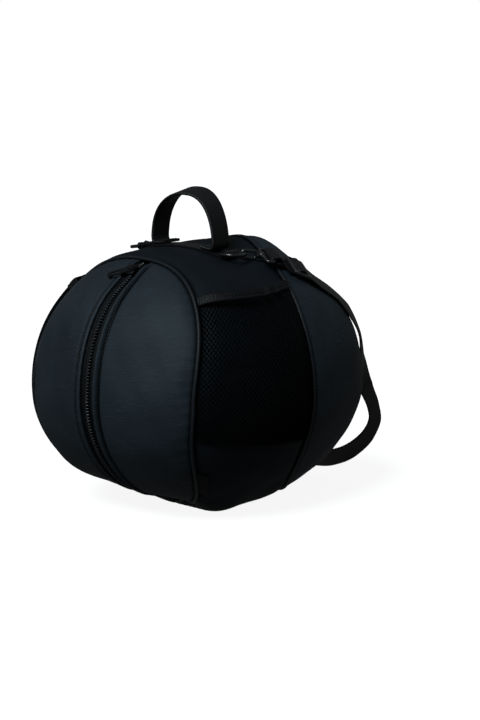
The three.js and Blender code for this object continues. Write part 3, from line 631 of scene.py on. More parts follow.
def finish(name):
    """The material of a finish: two tones by unevenness and thread, a range of roughness, woven relief and, in some,
    painted shade in creases.
    """
    if name in bpy.data.materials:
        return bpy.data.materials[name]
    look = {**PLAIN, **FINISHES[name]}
    colour = getattr(bpy.context.scene.bag_finish, look["colour"])
    dark, light = (tuple(c * (1 + way * look["spread"]) for c in colour) for way in (-1, 1))
    material = bpy.data.materials.new(name)
    material.use_nodes = True
    tree = material.node_tree
    place = new_node(tree, "TexCoord")
    tone = group_node(tree, worn_tone, "Worn Tone", {"Place": place.outputs["Object"]})
    height = thread = tone.outputs["Fleck"]
    if look["weave"]:
        lay = new_node(tree, "Attribute", attribute_name="lay").outputs["Vector"]
        across, along = look["weave"]
        threads = group_node(tree, woven_threads, "Woven Threads", {"Lay": lay, "Across": across, "Along": along})
        thread = threads.outputs["Height"]
        height = math_node(tree, "ADD", thread, math_node(tree, "MULTIPLY", tone.outputs["Fleck"], FLECK_RELIEF))
    share = math_node(tree, "MULTIPLY", tone.outputs["Tone"], TONE_SHARE)
    share = math_node(tree, "ADD", share, math_node(tree, "MULTIPLY", thread, THREAD_SHARE))
    if look["picks"]:
        pick = group_node(tree, thick_picks, "Thick Picks", {"Lay": lay}).outputs["Pick"]
        share = math_node(tree, "MULTIPLY_ADD", pick, look["picks"], share)
        height = math_node(tree, "MULTIPLY_ADD", pick, PICK_RELIEF, height)
    mixed = new_node(tree, "Mix", {"Factor": share, "A": (*dark, 1), "B": (*light, 1)}, data_type="RGBA")
    shine = look["specular"]
    # Painted shade: in grooves and beside seams the colour darkens and the shine drops
    if look["paints_crease_shade"]:
        crease = new_node(tree, "Attribute", attribute_name="crease").outputs["Fac"]
        painted_shade_mix = {"Factor": crease, "A": mixed.outputs["Result"], "B": (*(PAINTED_SHADE_TONE * c for c in dark), 1)}
        mixed = new_node(tree, "Mix", painted_shade_mix, data_type="RGBA")
        shine = math_node(tree, "MULTIPLY_ADD", crease, -shine, shine)
    low, high = look["rough"]
    gloss = new_node(tree, "MapRange", {"Value": tone.outputs["Tone"], "To Min": low, "To Max": high})
    relief = new_node(tree, "Bump", {"Strength": look["bump"], "Distance": look["depth"], "Height": height})
    shader = tree.nodes["Principled BSDF"]
    shader.inputs["Specular IOR Level"].default_value = look["specular"]
    wire(tree, shader, {
        "Base Color": mixed.outputs["Result"],
        "Roughness": gloss.outputs["Result"],
        "Specular IOR Level": shine,
        "Specular Tint": (*look["tint"], 1),
        "Normal": relief.outputs["Normal"],
    })
    return material


# Settings that a user would change
class BagSizes(bpy.types.PropertyGroup):
    """Sizes of the small repeated pieces, and the camera's distance"""
    net_cell: FloatProperty(
        name="Net Cell", description="Width of one diamond of the pocket net",
        default=0.0046, unit="LENGTH",
    )
    net_yarn: FloatProperty(
        name="Net Yarn", description="Thickness of the pocket net's yarn",
        default=0.0011, unit="LENGTH",
    )
    tooth_pitch: FloatProperty(
        name="Tooth Pitch", description="Distance from one zip tooth to the next",
        default=0.0015, unit="LENGTH",
    )
    stitch: FloatProperty(
        name="Stitch", description="Length of one stitch of the sewing",
        default=0.0031, unit="LENGTH",
    )
    pucker: FloatProperty(
        name="Pucker", description="Height of the small gathers beside a seam",
        default=0.00022, unit="LENGTH",
    )
    camera_away: FloatProperty(
        name="Camera Distance", description="Distance from the bag's middle to the camera",
        default=1.6, unit="LENGTH",
    )


class BagFinish(bpy.types.PropertyGroup):
    """Colours of the cloths, webbing and fittings"""
    dome: FloatVectorProperty(
        name="Dome", description="Colour of the front and back domes",
        default=(0.0098, 0.0148, 0.02), subtype="COLOR",
    )
    band: FloatVectorProperty(
        name="Band", description="Colour of the band between the domes",
        default=(0.0042, 0.006, 0.0085), subtype="COLOR",
    )
    piping: FloatVectorProperty(
        name="Piping", description="Colour of the covered cord in the seams",
        default=(0.0066, 0.0088, 0.0116), subtype="COLOR",
    )
    hem: FloatVectorProperty(
        name="Hem", description="Colour of the pocket hems",
        default=(0.0022, 0.0029, 0.0038), subtype="COLOR",
    )
    tape: FloatVectorProperty(
        name="Zip Tape", description="Colour of the zip tape and its slider",
        default=(0.0013, 0.002, 0.0028), subtype="COLOR",
    )
    teeth: FloatVectorProperty(
        name="Zip Teeth", description="Colour of the zip teeth",
        default=(0.0075, 0.009, 0.011), subtype="COLOR",
    )
    net: FloatVectorProperty(
        name="Net", description="Colour of the pocket net",
        default=(0.0007, 0.0009, 0.0012), subtype="COLOR",
    )
    webbing: FloatVectorProperty(
        name="Webbing", description="Colour of the handle and straps",
        default=(0.003, 0.0033, 0.004), subtype="COLOR",
    )
    fitting: FloatVectorProperty(
        name="Fittings", description="Colour of the rings, hooks and sliders",
        default=(0.008, 0.0085, 0.0095), subtype="COLOR",
    )
    thread: FloatVectorProperty(
        name="Thread", description="Colour of the sewing thread",
        default=(0.009, 0.011, 0.014), subtype="COLOR",
    )


# Front dome
def zip_direction(x, angle):
    """Rays to the skin at a distance beside the middle plane, by their angle up the front."""
    x, angle = np.broadcast_arrays(np.asarray(x, float), np.asarray(angle, float))
    side = x / HALF_LENGTH
    for _ in range(6):
        ring = np.sqrt(1 - side * side)
        ray = np.stack([side, -ring * np.cos(angle), ring * np.sin(angle)], -1)
        reach = ray[..., 0] * skin_reach(ray)
        side = np.where(np.abs(x) < 1e-9, 0, side * x / np.where(np.abs(reach) < 1e-9, 1, reach))
    return ray


def zip_end(upper, x, inset):
    """Angle up the front at which the zip meets the front seam."""
    around = math.pi / 2 - x / ZIP_TOP_RADIUS if upper else -math.pi / 2 + x / ZIP_FOOT_RADIUS
    ray = direction(around, seam_swing(FRONT, around, -inset))
    return math.atan2(ray[2], -ray[1])


def dome_distance(ray, line):
    """Millimetres over the front dome from the rays of a grid to its line's."""
    return np.arccos(np.clip(np.sum(ray * line[:, None], -1), -1, 1)) * DOME_RADIUS


def gore_surface(side, height):
    """Outer and inner points of one half of the front dome, from the zip's fold to the piped seam, and the shade
    painted into its groove and beside its seam.
    """
    down = np.linspace(0, 1, GORE_COLUMNS)
    around = math.pi / 2 - side * lerp(FOLD_EDGE / ZIP_TOP_RADIUS, math.pi - FOLD_EDGE / ZIP_FOOT_RADIUS, down)
    seam = direction(around, seam_swing(FRONT, around, -SEAM_SIDE))
    turn = lerp(zip_end(True, side * FOLD_EDGE, SEAM_SIDE), zip_end(False, side * FOLD_EDGE, SEAM_SIDE), down)
    fold = zip_direction(side * FOLD_EDGE, turn)
    ray = unit(lerp(fold[:, None], seam[:, None], eased(GORE_ROWS)[None, :, None]))
    from_fold, from_seam = dome_distance(ray, fold), dome_distance(ray, seam)
    base = skin_point(ray, 0)
    ends = (smooth(0, 0.06, down) * (1 - smooth(0.94, 1, down)))[:, None]
    ridge, groove, shade = FOLD_RELIEF[side]
    sunk = bell(from_fold - 5.6, 1.6, 4)
    lift = ends * (ridge * bell(from_fold - 1.9, 1.5) - groove * sunk)
    # Painted shade, darker in the groove beside the zip's fold and beside the piped seam
    crease = np.maximum(shade * ends * sunk, 0.8 * bell(from_seam, DOME_PAINTED_SHADE_WIDTH))
    lift += slack(base) * smooth(0, 18, from_fold) * smooth(0, 14, from_seam)
    lift += pucker(from_seam, run_length(base[:, -1])[:, None], height) * smooth(0, 12, from_fold)
    lift += pucker(from_fold, run_length(base[:, 0])[:, None], 0.5 * height, 14) * smooth(0, 12, from_seam)
    return (*cloth_layers(ray, lift), crease)


class BAG_OT_front_dome(bpy.types.Operator):
    """Make the two halves of the zipped front dome"""
    bl_idname = "bag.front_dome"
    bl_label = "Front Dome"

    def execute(self, context):
        height = context.scene.bag_sizes.pucker * 1000
        for word, side in SIDES:
            outer, inner, crease = gore_surface(side, height)
            panel = cloth_plate(f"front_dome_{word}", outer, inner, crease=crease)
            dressed(panel, "Dome Cloth", "shell_cloth", f"front_panel_{word}")
        return {"FINISHED"}


# Back dome and the band between the domes
class BAG_OT_back_dome(bpy.types.Operator):
    """Make the round back dome"""
    bl_idname = "bag.back_dome"
    bl_label = "Back Dome"

    def execute(self, context):
        height = context.scene.bag_sizes.pucker * 1000
        angle = full_turn(300)[:, None]
        back = np.linspace(0, 1, 46)[None, :] ** 1.25
        ray = direction(angle, lerp(seam_swing(BACK, angle, SEAM_SIDE), math.pi - 1e-7, back))
        base = skin_point(ray, 0)
        from_seam = np.linalg.norm(base - base[:, :1], axis=-1)
        along = run_length(np.vstack([base[:, 0], base[:1, 0]]))
        even = along[:-1, None] * round(along[-1] / PUCKER_WAVE) / along[-1]
        gathers = np.exp(-from_seam / PUCKER_DECAY) * np.sin(2 * math.pi * even + np.sin(angle * 9))
        fade = 1 - smooth(0.9, 1, back)
        lift = slack(base, 0.6) * smooth(0, 14, from_seam) * fade + height * gathers
        lift = lift + 0.9 * bell(from_seam - 4, 3)
        # Painted shade, darker beside the piped seam
        crease = 0.9 * bell(from_seam, DOME_PAINTED_SHADE_WIDTH)
        panel = cloth_plate("back_dome", *cloth_layers(ray, lift), True, crease=crease)
        dressed(panel, "Dome Cloth", "shell_cloth", "back_panel")
        return {"FINISHED"}


def band_surface(start, end, columns, height):
    """Rays and lifts of the band from one angle round it to another, and the shade painted beside its seams."""
    angle = np.linspace(start, end, columns)[:, None]
    near, far = seam_swing(FRONT, angle, SEAM_SIDE), seam_swing(BACK, angle, -SEAM_SIDE)
    ray = direction(angle, lerp(near, far, eased(54)[None, :]))
    base = skin_point(ray, 0)
    to_front = np.linalg.norm(base - base[:, :1], axis=-1)
    to_back = np.linalg.norm(base - base[:, -1:], axis=-1)
    to_seam = np.minimum(to_front, to_back)
    along = run_length(base[:, 0])[:, None]
    away = np.minimum(np.abs(angle - start), np.abs(angle - end)) * HALF_WIDTH
    lift = slack(base, 0.35) * smooth(0, 14, to_seam) * smooth(0, 10, away)
    lift = (lift + pucker(to_front, along, height) + pucker(to_back, along, height)) * smooth(0, 8, away)
    # The last value is painted shade, darker beside both seams
    return ray, np.minimum(lift, 0.3), 0.9 * bell(to_seam, BAND_PAINTED_SHADE_WIDTH)


class BAG_OT_band(bpy.types.Operator):
    """Make the band between the domes: its upper panel and its base"""
    bl_idname = "bag.band"
    bl_label = "Band"

    def execute(self, context):
        height = context.scene.bag_sizes.pucker * 1000
        for word, turn, columns, gathered in (("top", 1, 240, 0.5), ("base", -1, 200, 1.0)):
            start = BOOT_ANGLE + turn * BAND_SPLIT / HALF_WIDTH
            ray, lift, crease = band_surface(start, turn * math.pi - start, columns, gathered * height)
            panel = cloth_plate(f"band_{word}", *cloth_layers(ray, lift), crease=crease)
            dressed(panel, "Band Cloth", "band_cloth", f"{word}_band")
        return {"FINISHED"}


class BAG_OT_piping(bpy.types.Operator):
    """Lay the covered cord along both seams"""
    bl_idname = "bag.piping"
    bl_label = "Piping"

    def execute(self, context):
        angle, turn = full_turn(360), full_turn(12)
        circle = PIPING_RADIUS * np.stack([np.cos(turn), np.sin(turn)], -1)
        for word, table in (("front", FRONT), ("back", BACK)):
            points = skin_point(direction(angle, seam_swing(table, angle, 0)), PIPING_LIFT)
            points[:, 2] = np.maximum(points[:, 2], PIPING_RADIUS + 0.1)
            name = f"piping_cord_{word}"
            cord, _ = swept(name, points, from_centre(points), circle, turn * PIPING_RADIUS, True, 80)
            dressed(cord, "Piping Cloth", "piping", f"piping_{word}")
        return {"FINISHED"}


# Zip
def zip_strip(edges, columns, lift, inset):
    """A grid of points down the zip, at distances beside its middle."""
    turn = np.linspace(zip_end(True, 0, inset), zip_end(False, 0, inset), columns)[:, None]
    return skin_point(zip_direction(np.asarray(edges)[None, :], turn), lift)


def zip_slider_frame():
    """The zip slider's axes and the place of its underside."""
    ray = zip_direction(0, ZIP_SLIDER_ANGLE)
    point = skin_point(ray, 0.0)
    along = unit(skin_point(zip_direction(0, ZIP_SLIDER_ANGLE - 0.02), 0.0) - point)
    across = np.array([1.0, 0, 0])
    return along, across, unit(np.cross(along, across)), skin_point(ray, 0.8 + GAP)


class BAG_OT_zip(bpy.types.Operator):
    """Make the zip's tapes and its two rows of teeth"""
    bl_idname = "bag.zip"
    bl_label = "Zip"

    def execute(self, context):
        for word, side in SIDES:
            edges = side * np.append(np.arange(0.25, 9.5, 0.35), [10.5, 12.5, 14.5, TAPE_REACH])
            ribs = sum(0.5 * bell(np.abs(edges) - at, 0.42) for at in TAPE_RIBS)[None, :]
            outer = zip_strip(edges, TAPE_COLUMNS, TAPE_HIGH + ribs, 5)
            inner = zip_strip(edges, TAPE_COLUMNS, TAPE_HIGH - 1, 5)
            tape = cloth_plate(f"zip_tape_cloth_{word}", outer, inner)
            dressed(tape, "Zip Tape", "zip_tape", f"zip_tape_{word}")
        middle = zip_strip([0.0], 260, 0, 6)[:, 0]
        line = evenly(middle, context.scene.bag_sizes.tooth_pitch * 1000)
        along = unit(np.gradient(line, axis=0))
        corners, faces = [], []
        for i, (point, way) in enumerate(zip(line, along)):
            side = 1 if i % 2 else -1
            across = np.array([side, 0.0, 0.0])
            out = unit(np.cross(way, across)) * side
            faces += [[len(corners) + corner for corner in face] for face in PRISM]
            for reach, low, high, half in TOOTH_SECTIONS:
                edge = high - 0.25
                outline = ((-1, low), (1, low), (1, edge), (0.5, high), (-0.5, high), (-1, edge))
                corners += [point + across * reach + way * u * half + out * v for u, v in outline]
        teeth = sewn("zip_teeth", corners, faces, angle=35)
        dressed(teeth, "Coil Nylon", "zip_coil", "zip_coil")
        return {"FINISHED"}


# Moulded fittings, modelled in millimetres about the origin
def edit_select(piece, test):
    """Selects in edit mode the faces whose normal passes the test."""
    activate(piece)
    bpy.ops.object.mode_set(mode="EDIT")
    bpy.ops.mesh.select_mode(type="FACE")
    shape = bmesh.from_edit_mesh(piece.data)
    for face in shape.faces:
        face.select_set(bool(test(face.normal)))
    bmesh.update_edit_mesh(piece.data)


def bevelled(piece, width, segments=3):
    """Rounds a piece's sharp edges."""
    limit = math.radians(28)
    modified(piece, "Round Edges", "BEVEL", width=width, segments=segments, limit_method="ANGLE", angle_limit=limit)
    shaded(piece, 40)


def settled(name):
    """Names the object just added and applies its transform."""
    piece = bpy.context.object
    piece.name = piece.data.name = name
    bpy.ops.object.transform_apply(location=True, rotation=True, scale=True)
    return piece


def block(name, size, middle=(0, 0, 0)):
    deselect()
    bpy.ops.mesh.primitive_cube_add(size=1, location=middle)
    bpy.context.object.scale = size
    return settled(name)


def rod(name, radius, depth, middle=(0, 0, 0), turn=(0, 0, 0)):
    deselect()
    bpy.ops.mesh.primitive_cylinder_add(vertices=32, radius=radius, depth=depth, location=middle, rotation=turn)
    return settled(name)


def carved(piece, tool, operation="DIFFERENCE"):
    """Cuts a tool out of a piece, or adds it, and removes the tool."""
    modified(piece, "Carve", "BOOLEAN", operation=operation, solver="EXACT", object=tool)
    bpy.data.objects.remove(tool, do_unlink=True)


def round_cornered(plate, width, segments):
    """Rounds the upright corners of a plate and leaves its other edges sharp."""
    weights = plate.data.attributes.new("bevel_weight_edge", "FLOAT", "EDGE")
    for edge in plate.data.edges:
        ends = [plate.data.vertices[v].co for v in edge.vertices]
        weights.data[edge.index].value = 1.0 if abs(ends[0].z - ends[1].z) > 1 else 0.0
    modified(plate, "Round Corners", "BEVEL", width=width, segments=segments, limit_method="WEIGHT")


class BAG_OT_zip_slider(bpy.types.Operator):
    """Model the zip's slider and its hanging pull"""
    bl_idname = "bag.zip_slider"
    bl_label = "Zip Slider"

    def execute(self, context):
        along, across, out, origin = zip_slider_frame()
        size = (SLIDER_LENGTH, SLIDER_WIDTH, SLIDER_THICK)
        body = block("zip_slider_body", size, (0, 0, SLIDER_THICK / 2))
        edit_select(body, lambda normal: normal.x < -0.9)
        bpy.ops.transform.resize(value=(1, 0.66, 1), center_override=(-SLIDER_LENGTH / 2, 0, 0))
        edit_select(body, lambda normal: normal.z > 0.9)
        bpy.ops.mesh.inset(thickness=1.1)
        bpy.ops.transform.translate(value=(0, 0, 0.35))
        bpy.ops.object.mode_set(mode="OBJECT")
        bevelled(body, 0.5)
        carved(body, rod("stud", 1.6, 3, (0, 0, SLIDER_THICK + 1.2)), "UNION")
        head = rod("stud_head", 2.9, 1.2, (0, 0, SLIDER_THICK + PULL_THICK + 2 * GAP + 0.6))
        bevelled(head, 0.4)
        carved(body, head, "UNION")
        shaded(body, 40)
        dressed(placed(body, along, across, out, origin), "Zip Lacquer", "zip_metal", "zip_slider")
        middle = ((PULL_LENGTH - PULL_WIDTH) / 2, 0, PULL_THICK / 2)
        pull = block("zip_pull_plate", (PULL_LENGTH, PULL_WIDTH, PULL_THICK), middle)
        round_cornered(pull, 2.6, 6)
        carved(pull, rod("pull_hole", PULL_HOLE, 6))
        grip = block("grip_slot", (9, 3.2, 6), (16.5, 0, 0))
        bevelled(grip, 1.4, 4)
        carved(pull, grip)
        bevelled(pull, 0.25, 2)
        lean = unit(-0.86 * across + 0.5 * along)
        start = origin + out * (SLIDER_THICK + GAP)
        dressed(placed(pull, lean, np.cross(out, lean), out, start), "Zip Lacquer", "zip_metal", "zip_pull")
        return {"FINISHED"}


# Pockets
def pocket_lift(up, across):
    """How far a pocket stands off the band, by shares up and across it."""
    belly = np.sin(math.pi * np.clip(across, 0, 1)) ** 0.7
    gathers = np.sin(2 * math.pi * GATHER_COUNT * across) * smooth(0.4, 0.75, across)
    fade = smooth(0.75, 1, up)
    return 2 * GAP + POCKET_SLACK * belly * smooth(0, 0.75, up) + GATHER_HEIGHT * gathers * fade * belly


def pocket_point(side, across, up, lift):
    """Points of a pocket by shares across and up it."""
    top = lerp(POCKET_TOP_FRONT, POCKET_TOP_BACK, across) - POCKET_SAG * np.sin(math.pi * across)
    angle = lerp(BOOT_ANGLE + 1.5 / HALF_WIDTH, top, up)
    angle = angle if side > 0 else math.pi - angle
    near = seam_swing(FRONT, angle, SEAM_SIDE + 0.3)
    far = seam_swing(BACK, angle, -SEAM_SIDE - 0.3)
    return skin_point(direction(angle, lerp(near, far, across)), pocket_lift(np.minimum(up, 1), across) + lift)


class BAG_OT_pockets(bpy.types.Operator):
    """Make the knotted net of both side pockets and its gathered hems"""
    bl_idname = "bag.pockets"
    bl_label = "Pockets"

    def execute(self, context):
        sizes = context.scene.bag_sizes
        across_count = int(round(POCKET_WIDE / sizes.net_cell))
        up_count = 2 * int(round(POCKET_TALL / (sizes.net_cell * CELL_TALL)))
        for word, side in SIDES:
            self.net(word, side, across_count, up_count, sizes.net_yarn)
            self.hem(word, side)
        return {"FINISHED"}

    def net(self, word, side, across_count, up_count, yarn):
        """Diamonds of yarn over one pocket."""
        top = 1 - HEM_SHARE - 0.003
        shares, ups, number = [], [], {}
        for j in range(up_count + 1):
            offset = 0.5 * (j % 2)
            for i in range(across_count + 1 - (j % 2)):
                number[2 * i + (j % 2), j] = len(shares)
                shares.append((i + offset) / across_count)
                ups.append(top * j / up_count)
            if j % 2:
                for end in (0, 2 * across_count):
                    number[end, j] = len(shares)
                    shares.append(end / 2 / across_count)
                    ups.append(top * j / up_count)
        faces = []
        for j in range(up_count - 1):
            for k in range(j % 2, 2 * across_count + 1, 2):
                if 0 < k < 2 * across_count:
                    faces.append([number[k, j], number[k + 1, j + 1], number[k, j + 2], number[k - 1, j + 1]])
                elif j % 2 == 0:
                    inner = k + 1 if k == 0 else k - 1
                    faces.append([number[k, j], number[inner, j + 1], number[k, j + 2], number[k, j + 1]])
        points = pocket_point(side, np.array(shares), np.array(ups), 0.5 * MESH_THICK)
        mesh = bpy.data.meshes.new(f"pocket_net_{word}")
        mesh.from_pydata((points / 1000).tolist(), [], faces)
        net = bpy.data.objects.new(mesh.name, mesh)
        bpy.context.scene.collection.objects.link(net)
        modified(net, "Knotted Yarn", "WIREFRAME", thickness=yarn, use_boundary=True, use_even_offset=False)
        shaded(net, 70)
        dressed(net, "Net Yarn", "mesh", f"pocket_mesh_{word}")

    def hem(self, word, side):
        """The rolled and crimped hem of one pocket."""
        across = np.linspace(0, 1, 200)[:, None]
        rise = np.linspace(0, 1, 14)[None, :]
        up = 1 - HEM_SHARE * (1 - rise)
        crimp = 0.35 * np.sin(2 * math.pi * across * 43 + 2 * np.sin(across * 31)) * np.sin(math.pi * rise)
        roll = np.sqrt(np.clip(1 - (2 * rise - 1) ** 6, 0, 1))
        groove = 0.7 * bell(rise - HEM_STITCH, 0.07)
        outer = pocket_point(side, across, up, lerp(0.9, HEM_THICK, roll) + 0.4 * crimp - groove)
        inner = pocket_point(side, across, up, lerp(0.7, 0, roll))
        hem = cloth_plate(f"pocket_hem_band_{word}", outer, inner, angle=60)
        dressed(hem, "Hem Binding", "binding", f"pocket_hem_{word}")


# Handle, strip and rings
def handle_foot(side):
    """Points of one sewn foot of the handle, and the way across it."""
    lift = WEBBING_THICK + STRIP_LIFT + GAP + HANDLE_THICK / 2 + 0.15
    x = side * np.array([HANDLE_HALF - 15, HANDLE_HALF - 6, HANDLE_HALF - 1.5])
    points = top_point(x, HANDLE_Y, lift)
    points[2, 2] += 1.2
    return points, unit(top_point(x, HANDLE_Y + 8, 0) - top_point(x, HANDLE_Y - 8, 0))


class BAG_OT_handle(bpy.types.Operator):
    """Bend the carrying handle and lay the strip that holds the rings"""
    bl_idname = "bag.handle"
    bl_label = "Handle"

    def execute(self, context):
        right, right_wide = handle_foot(1)
        left, left_wide = handle_foot(-1)
        turn = np.linspace(0, math.pi, HANDLE_STEPS)
        share, rise = np.cos(turn), np.abs(np.sin(turn))
        foot = lerp(left[2, 2], right[2, 2], (share + 1) / 2) + 3.2
        spread_power, rise_power = np.where(share[:, None] > 1e-12, HANDLE_ARCH_RIGHT, HANDLE_ARCH_LEFT).T
        x = HANDLE_HALF * np.sign(share) * np.abs(share) ** spread_power
        z = lerp(foot, HANDLE_TOP - HANDLE_THICK / 2, rise ** rise_power)
        tilt = HANDLE_TILT * rise ** 1.5
        points = np.vstack([right, vectors(x, HANDLE_Y, z), left[::-1]])
        wide = np.vstack([right_wide, vectors(0, np.cos(tilt), np.sin(tilt)), left_wide[::-1]])
        fine = curve_through(points, 5)
        handle, _ = ribbon("carry_handle", fine, unit(spread_rows(wide, len(fine))), WEBBING, HANDLE_THICK)
        dressed(handle, "Strap Webbing", "webbing", "handle")
        self.strip()
        return {"FINISHED"}

    def strip(self):
        """The strip on the band with an eye round each ring's bar."""
        x = np.linspace(-RING_BAR_X - 1, RING_BAR_X + 1, 70)[:, None]
        y = RING_Y + np.linspace(-0.5, 0.5, 9)[None, :] * STRIP_WIDTH
        outer, inner = top_point(x, y, STRIP_LIFT + WEBBING_THICK), top_point(x, y, STRIP_LIFT)
        strip = cloth_plate("ring_strip_webbing", outer, inner)
        turn = full_turn(40)[:, None]
        ring = vectors(np.cos(turn), 0, np.sin(turn))
        offset = vectors(0, np.linspace(-0.5, 0.5, 7)[None, :] * STRIP_WIDTH, 0)
        for _, side in SIDES:
            middle = bar_point(side) + offset
            joined([strip, cloth_plate("eye", middle + EYE_OUTER * ring, middle + EYE_INNER * ring, True)])
        dressed(strip, "Strap Webbing", "webbing", "ring_strip")


def bar_point(side):
    """The middle of a D-ring's bar."""
    return top_point(side * RING_BAR_X, RING_Y, GAP) + np.array([0, 0, EYE_OUTER + 1.35])


def ring_points(side):
    """Points of a D-ring's bow and of its straight bar."""
    bar = bar_point(side)
    out = unit(top_point(side * (RING_BAR_X + RING_DEPTH), RING_Y, HOOK_LIFT) - bar)
    turn = np.linspace(0, math.pi, 17)
    along = np.sign(np.cos(turn)) * np.abs(np.cos(turn)) ** 0.75 * RING_HALF_BAR
    depth = np.abs(np.sin(turn)) ** 0.75 * RING_DEPTH
    bow = bar + depth[:, None] * out + along[:, None] * np.array([0, 1.0, 0])
    return bow, bar + np.linspace(-1, 1, 7)[1:-1, None] * RING_HALF_BAR * np.array([0, 1.0, 0])


def moulded_wire(name, points, radius):
    """Round moulded wire as a closed curve turned into a mesh."""
    deselect()
    bpy.ops.curve.primitive_nurbs_circle_add(radius=1)
    path = bpy.context.object
    path.name = path.data.name = name
    path.data.splines.clear()
    spline = path.data.splines.new("POLY")
    spline.points.add(len(points) - 1)
    spline.points.foreach_set("co", np.append(points, np.ones((len(points), 1)), axis=1).ravel())
    spline.use_cyclic_u = True
    path.data.dimensions = "3D"
    path.data.bevel_depth, path.data.bevel_resolution = radius, 5
    bpy.ops.object.convert(target="MESH")
    piece = bpy.context.object
    piece.name = piece.data.name = name
    return piece


class BAG_OT_rings(bpy.types.Operator):
    """Mould the two D-rings in the strip's eyes"""
    bl_idname = "bag.rings"
    bl_label = "Rings"

    def execute(self, context):
        for word, side in SIDES:
            ring = moulded_wire(f"ring_{word}", np.vstack(ring_points(side)) / 1000, RING_WIRE / 1000)
            shaded(ring, 70)
            dressed(ring, "Fitting Plastic", "hardware", f"d_ring_{word}")
        return {"FINISHED"}


def hook_frame(side):
    """A hook's axes and the place on its ring where it holds."""
    bow, _ = ring_points(side)
    back = bow[bow[:, 1] > RING_Y]
    along = np.array([side * 0.55, 0.83, 0])
    up = top_normal(side * HOOK_X + along[0] * 14, HOOK_Y + along[1] * 14)
    along = unit(along - np.dot(along, up) * up)
    across = unit(np.cross(up, along))
    away = np.abs(back[:, 0] - side * HOOK_X) + np.abs(back[:, 1] - HOOK_Y)
    return along, across, up, back[int(np.argmin(away))]


def hook_link():
    """The long closed link that hangs in a D-ring."""
    bend = RING_WIRE + GAP + HOOK_WIRE + 0.1
    turn = full_turn(48)
    return vectors(np.where(np.cos(turn) > 0, 9, 0) + bend * np.cos(turn), 0, bend * np.sin(turn))


def hook_eye(low, corner=3.0):
    """A round-cornered frame that the strap turns round."""
    points = []
    for i, (end, way) in enumerate(((HOOK_REACH, 1), (low, 1), (low, -1), (HOOK_REACH, -1))):
        x = end - corner if end == HOOK_REACH else end + corner
        for turn in np.linspace(i, i + 1, 7) * math.pi / 2:
            y = way * (EYE_HALF - corner) + corner * math.sin(turn)
            points.append((x + corner * math.cos(turn), y, 0))
    return np.array(points)


class BAG_OT_hooks(bpy.types.Operator):
    """Mould the two snap hooks that hold the strap to the rings"""
    bl_idname = "bag.hooks"
    bl_label = "Hooks"

    def execute(self, context):
        for word, side in SIDES:
            along, across, up, start = hook_frame(side)
            low, sideways = HOOK_REACH - EYE_LENGTH, (0, math.pi / 2, 0)
            name = f"snap_hook_{word}"
            link, eye = moulded_wire(name, hook_link(), HOOK_WIRE), moulded_wire("eye", hook_eye(low), EYE_WIRE)
            neck = rod("neck", 2.8, 8.5, (low - 3.2, 0, 0), sideways)
            bevelled(neck, 0.7)
            collar = rod("collar", 3.35, 1.8, (low - 2.2, 0, 0), sideways)
            bevelled(collar, 0.5)
            hook = joined([link, eye, neck, collar])
            modified(hook, "Mould", "REMESH", mode="VOXEL", voxel_size=0.42)
            modified(hook, "Ease", "SMOOTH", factor=0.5, iterations=4)
            bpy.ops.object.shade_smooth()
            dressed(placed(hook, along, across, up, start), "Fitting Plastic", "hardware", f"hook_{word}")
        return {"FINISHED"}


# Shoulder strap
def strap_end(side):
    """The strap's turn round a hook's eye: its points and the way across it."""
    along, across, up, start = hook_frame(side)
    bar = start + along * HOOK_REACH
    bend = EYE_WIRE + GAP + WEBBING_THICK / 2
    points = [bar + 13 * along - bend * up]
    turns = 1.5 * math.pi - np.arange(9) / 8 * math.pi
    points += [bar + bend * math.cos(t) * along + bend * math.sin(t) * up for t in turns]
    points.append(bar + 7 * along + 0.95 * bend * up)
    return np.array(points), np.tile(across, (len(points), 1))


def adjuster_frame():
    """The strap adjuster's axes and middle."""
    up = top_normal(*ADJUSTER_PLACE)
    along = top_point(*ADJUSTER_TO, 0) - top_point(*ADJUSTER_FROM, 0)
    along = unit(along - np.dot(along, up) * up)
    return along, unit(np.cross(up, along)), up, top_point(*ADJUSTER_PLACE, 0) + ADJUSTER_LIFT * up


def strap_run(side):
    """The strap's free run from the top of the bag to its middle behind: its points and the way across it."""
    points, turns = [], []
    for x, y, z, _ in STRAP_ROUTE:
        points.append(top_point(side * x, y, 1.6) if z is None else (side * x, y, z))
    points = np.array(points)
    for i, (x, y, _, turn) in enumerate(STRAP_ROUTE):
        if turn is None:
            way = unit(points[i + 1] - points[i])
            turns.append(-unit(np.cross(top_normal(side * x, y), way)) * side)
        else:
            turns.append(unit((side * turn[0], turn[1], turn[2])))
    fine = curve_through(points, 12)
    return fine, unit(spread_rows(np.array(turns), len(fine)))


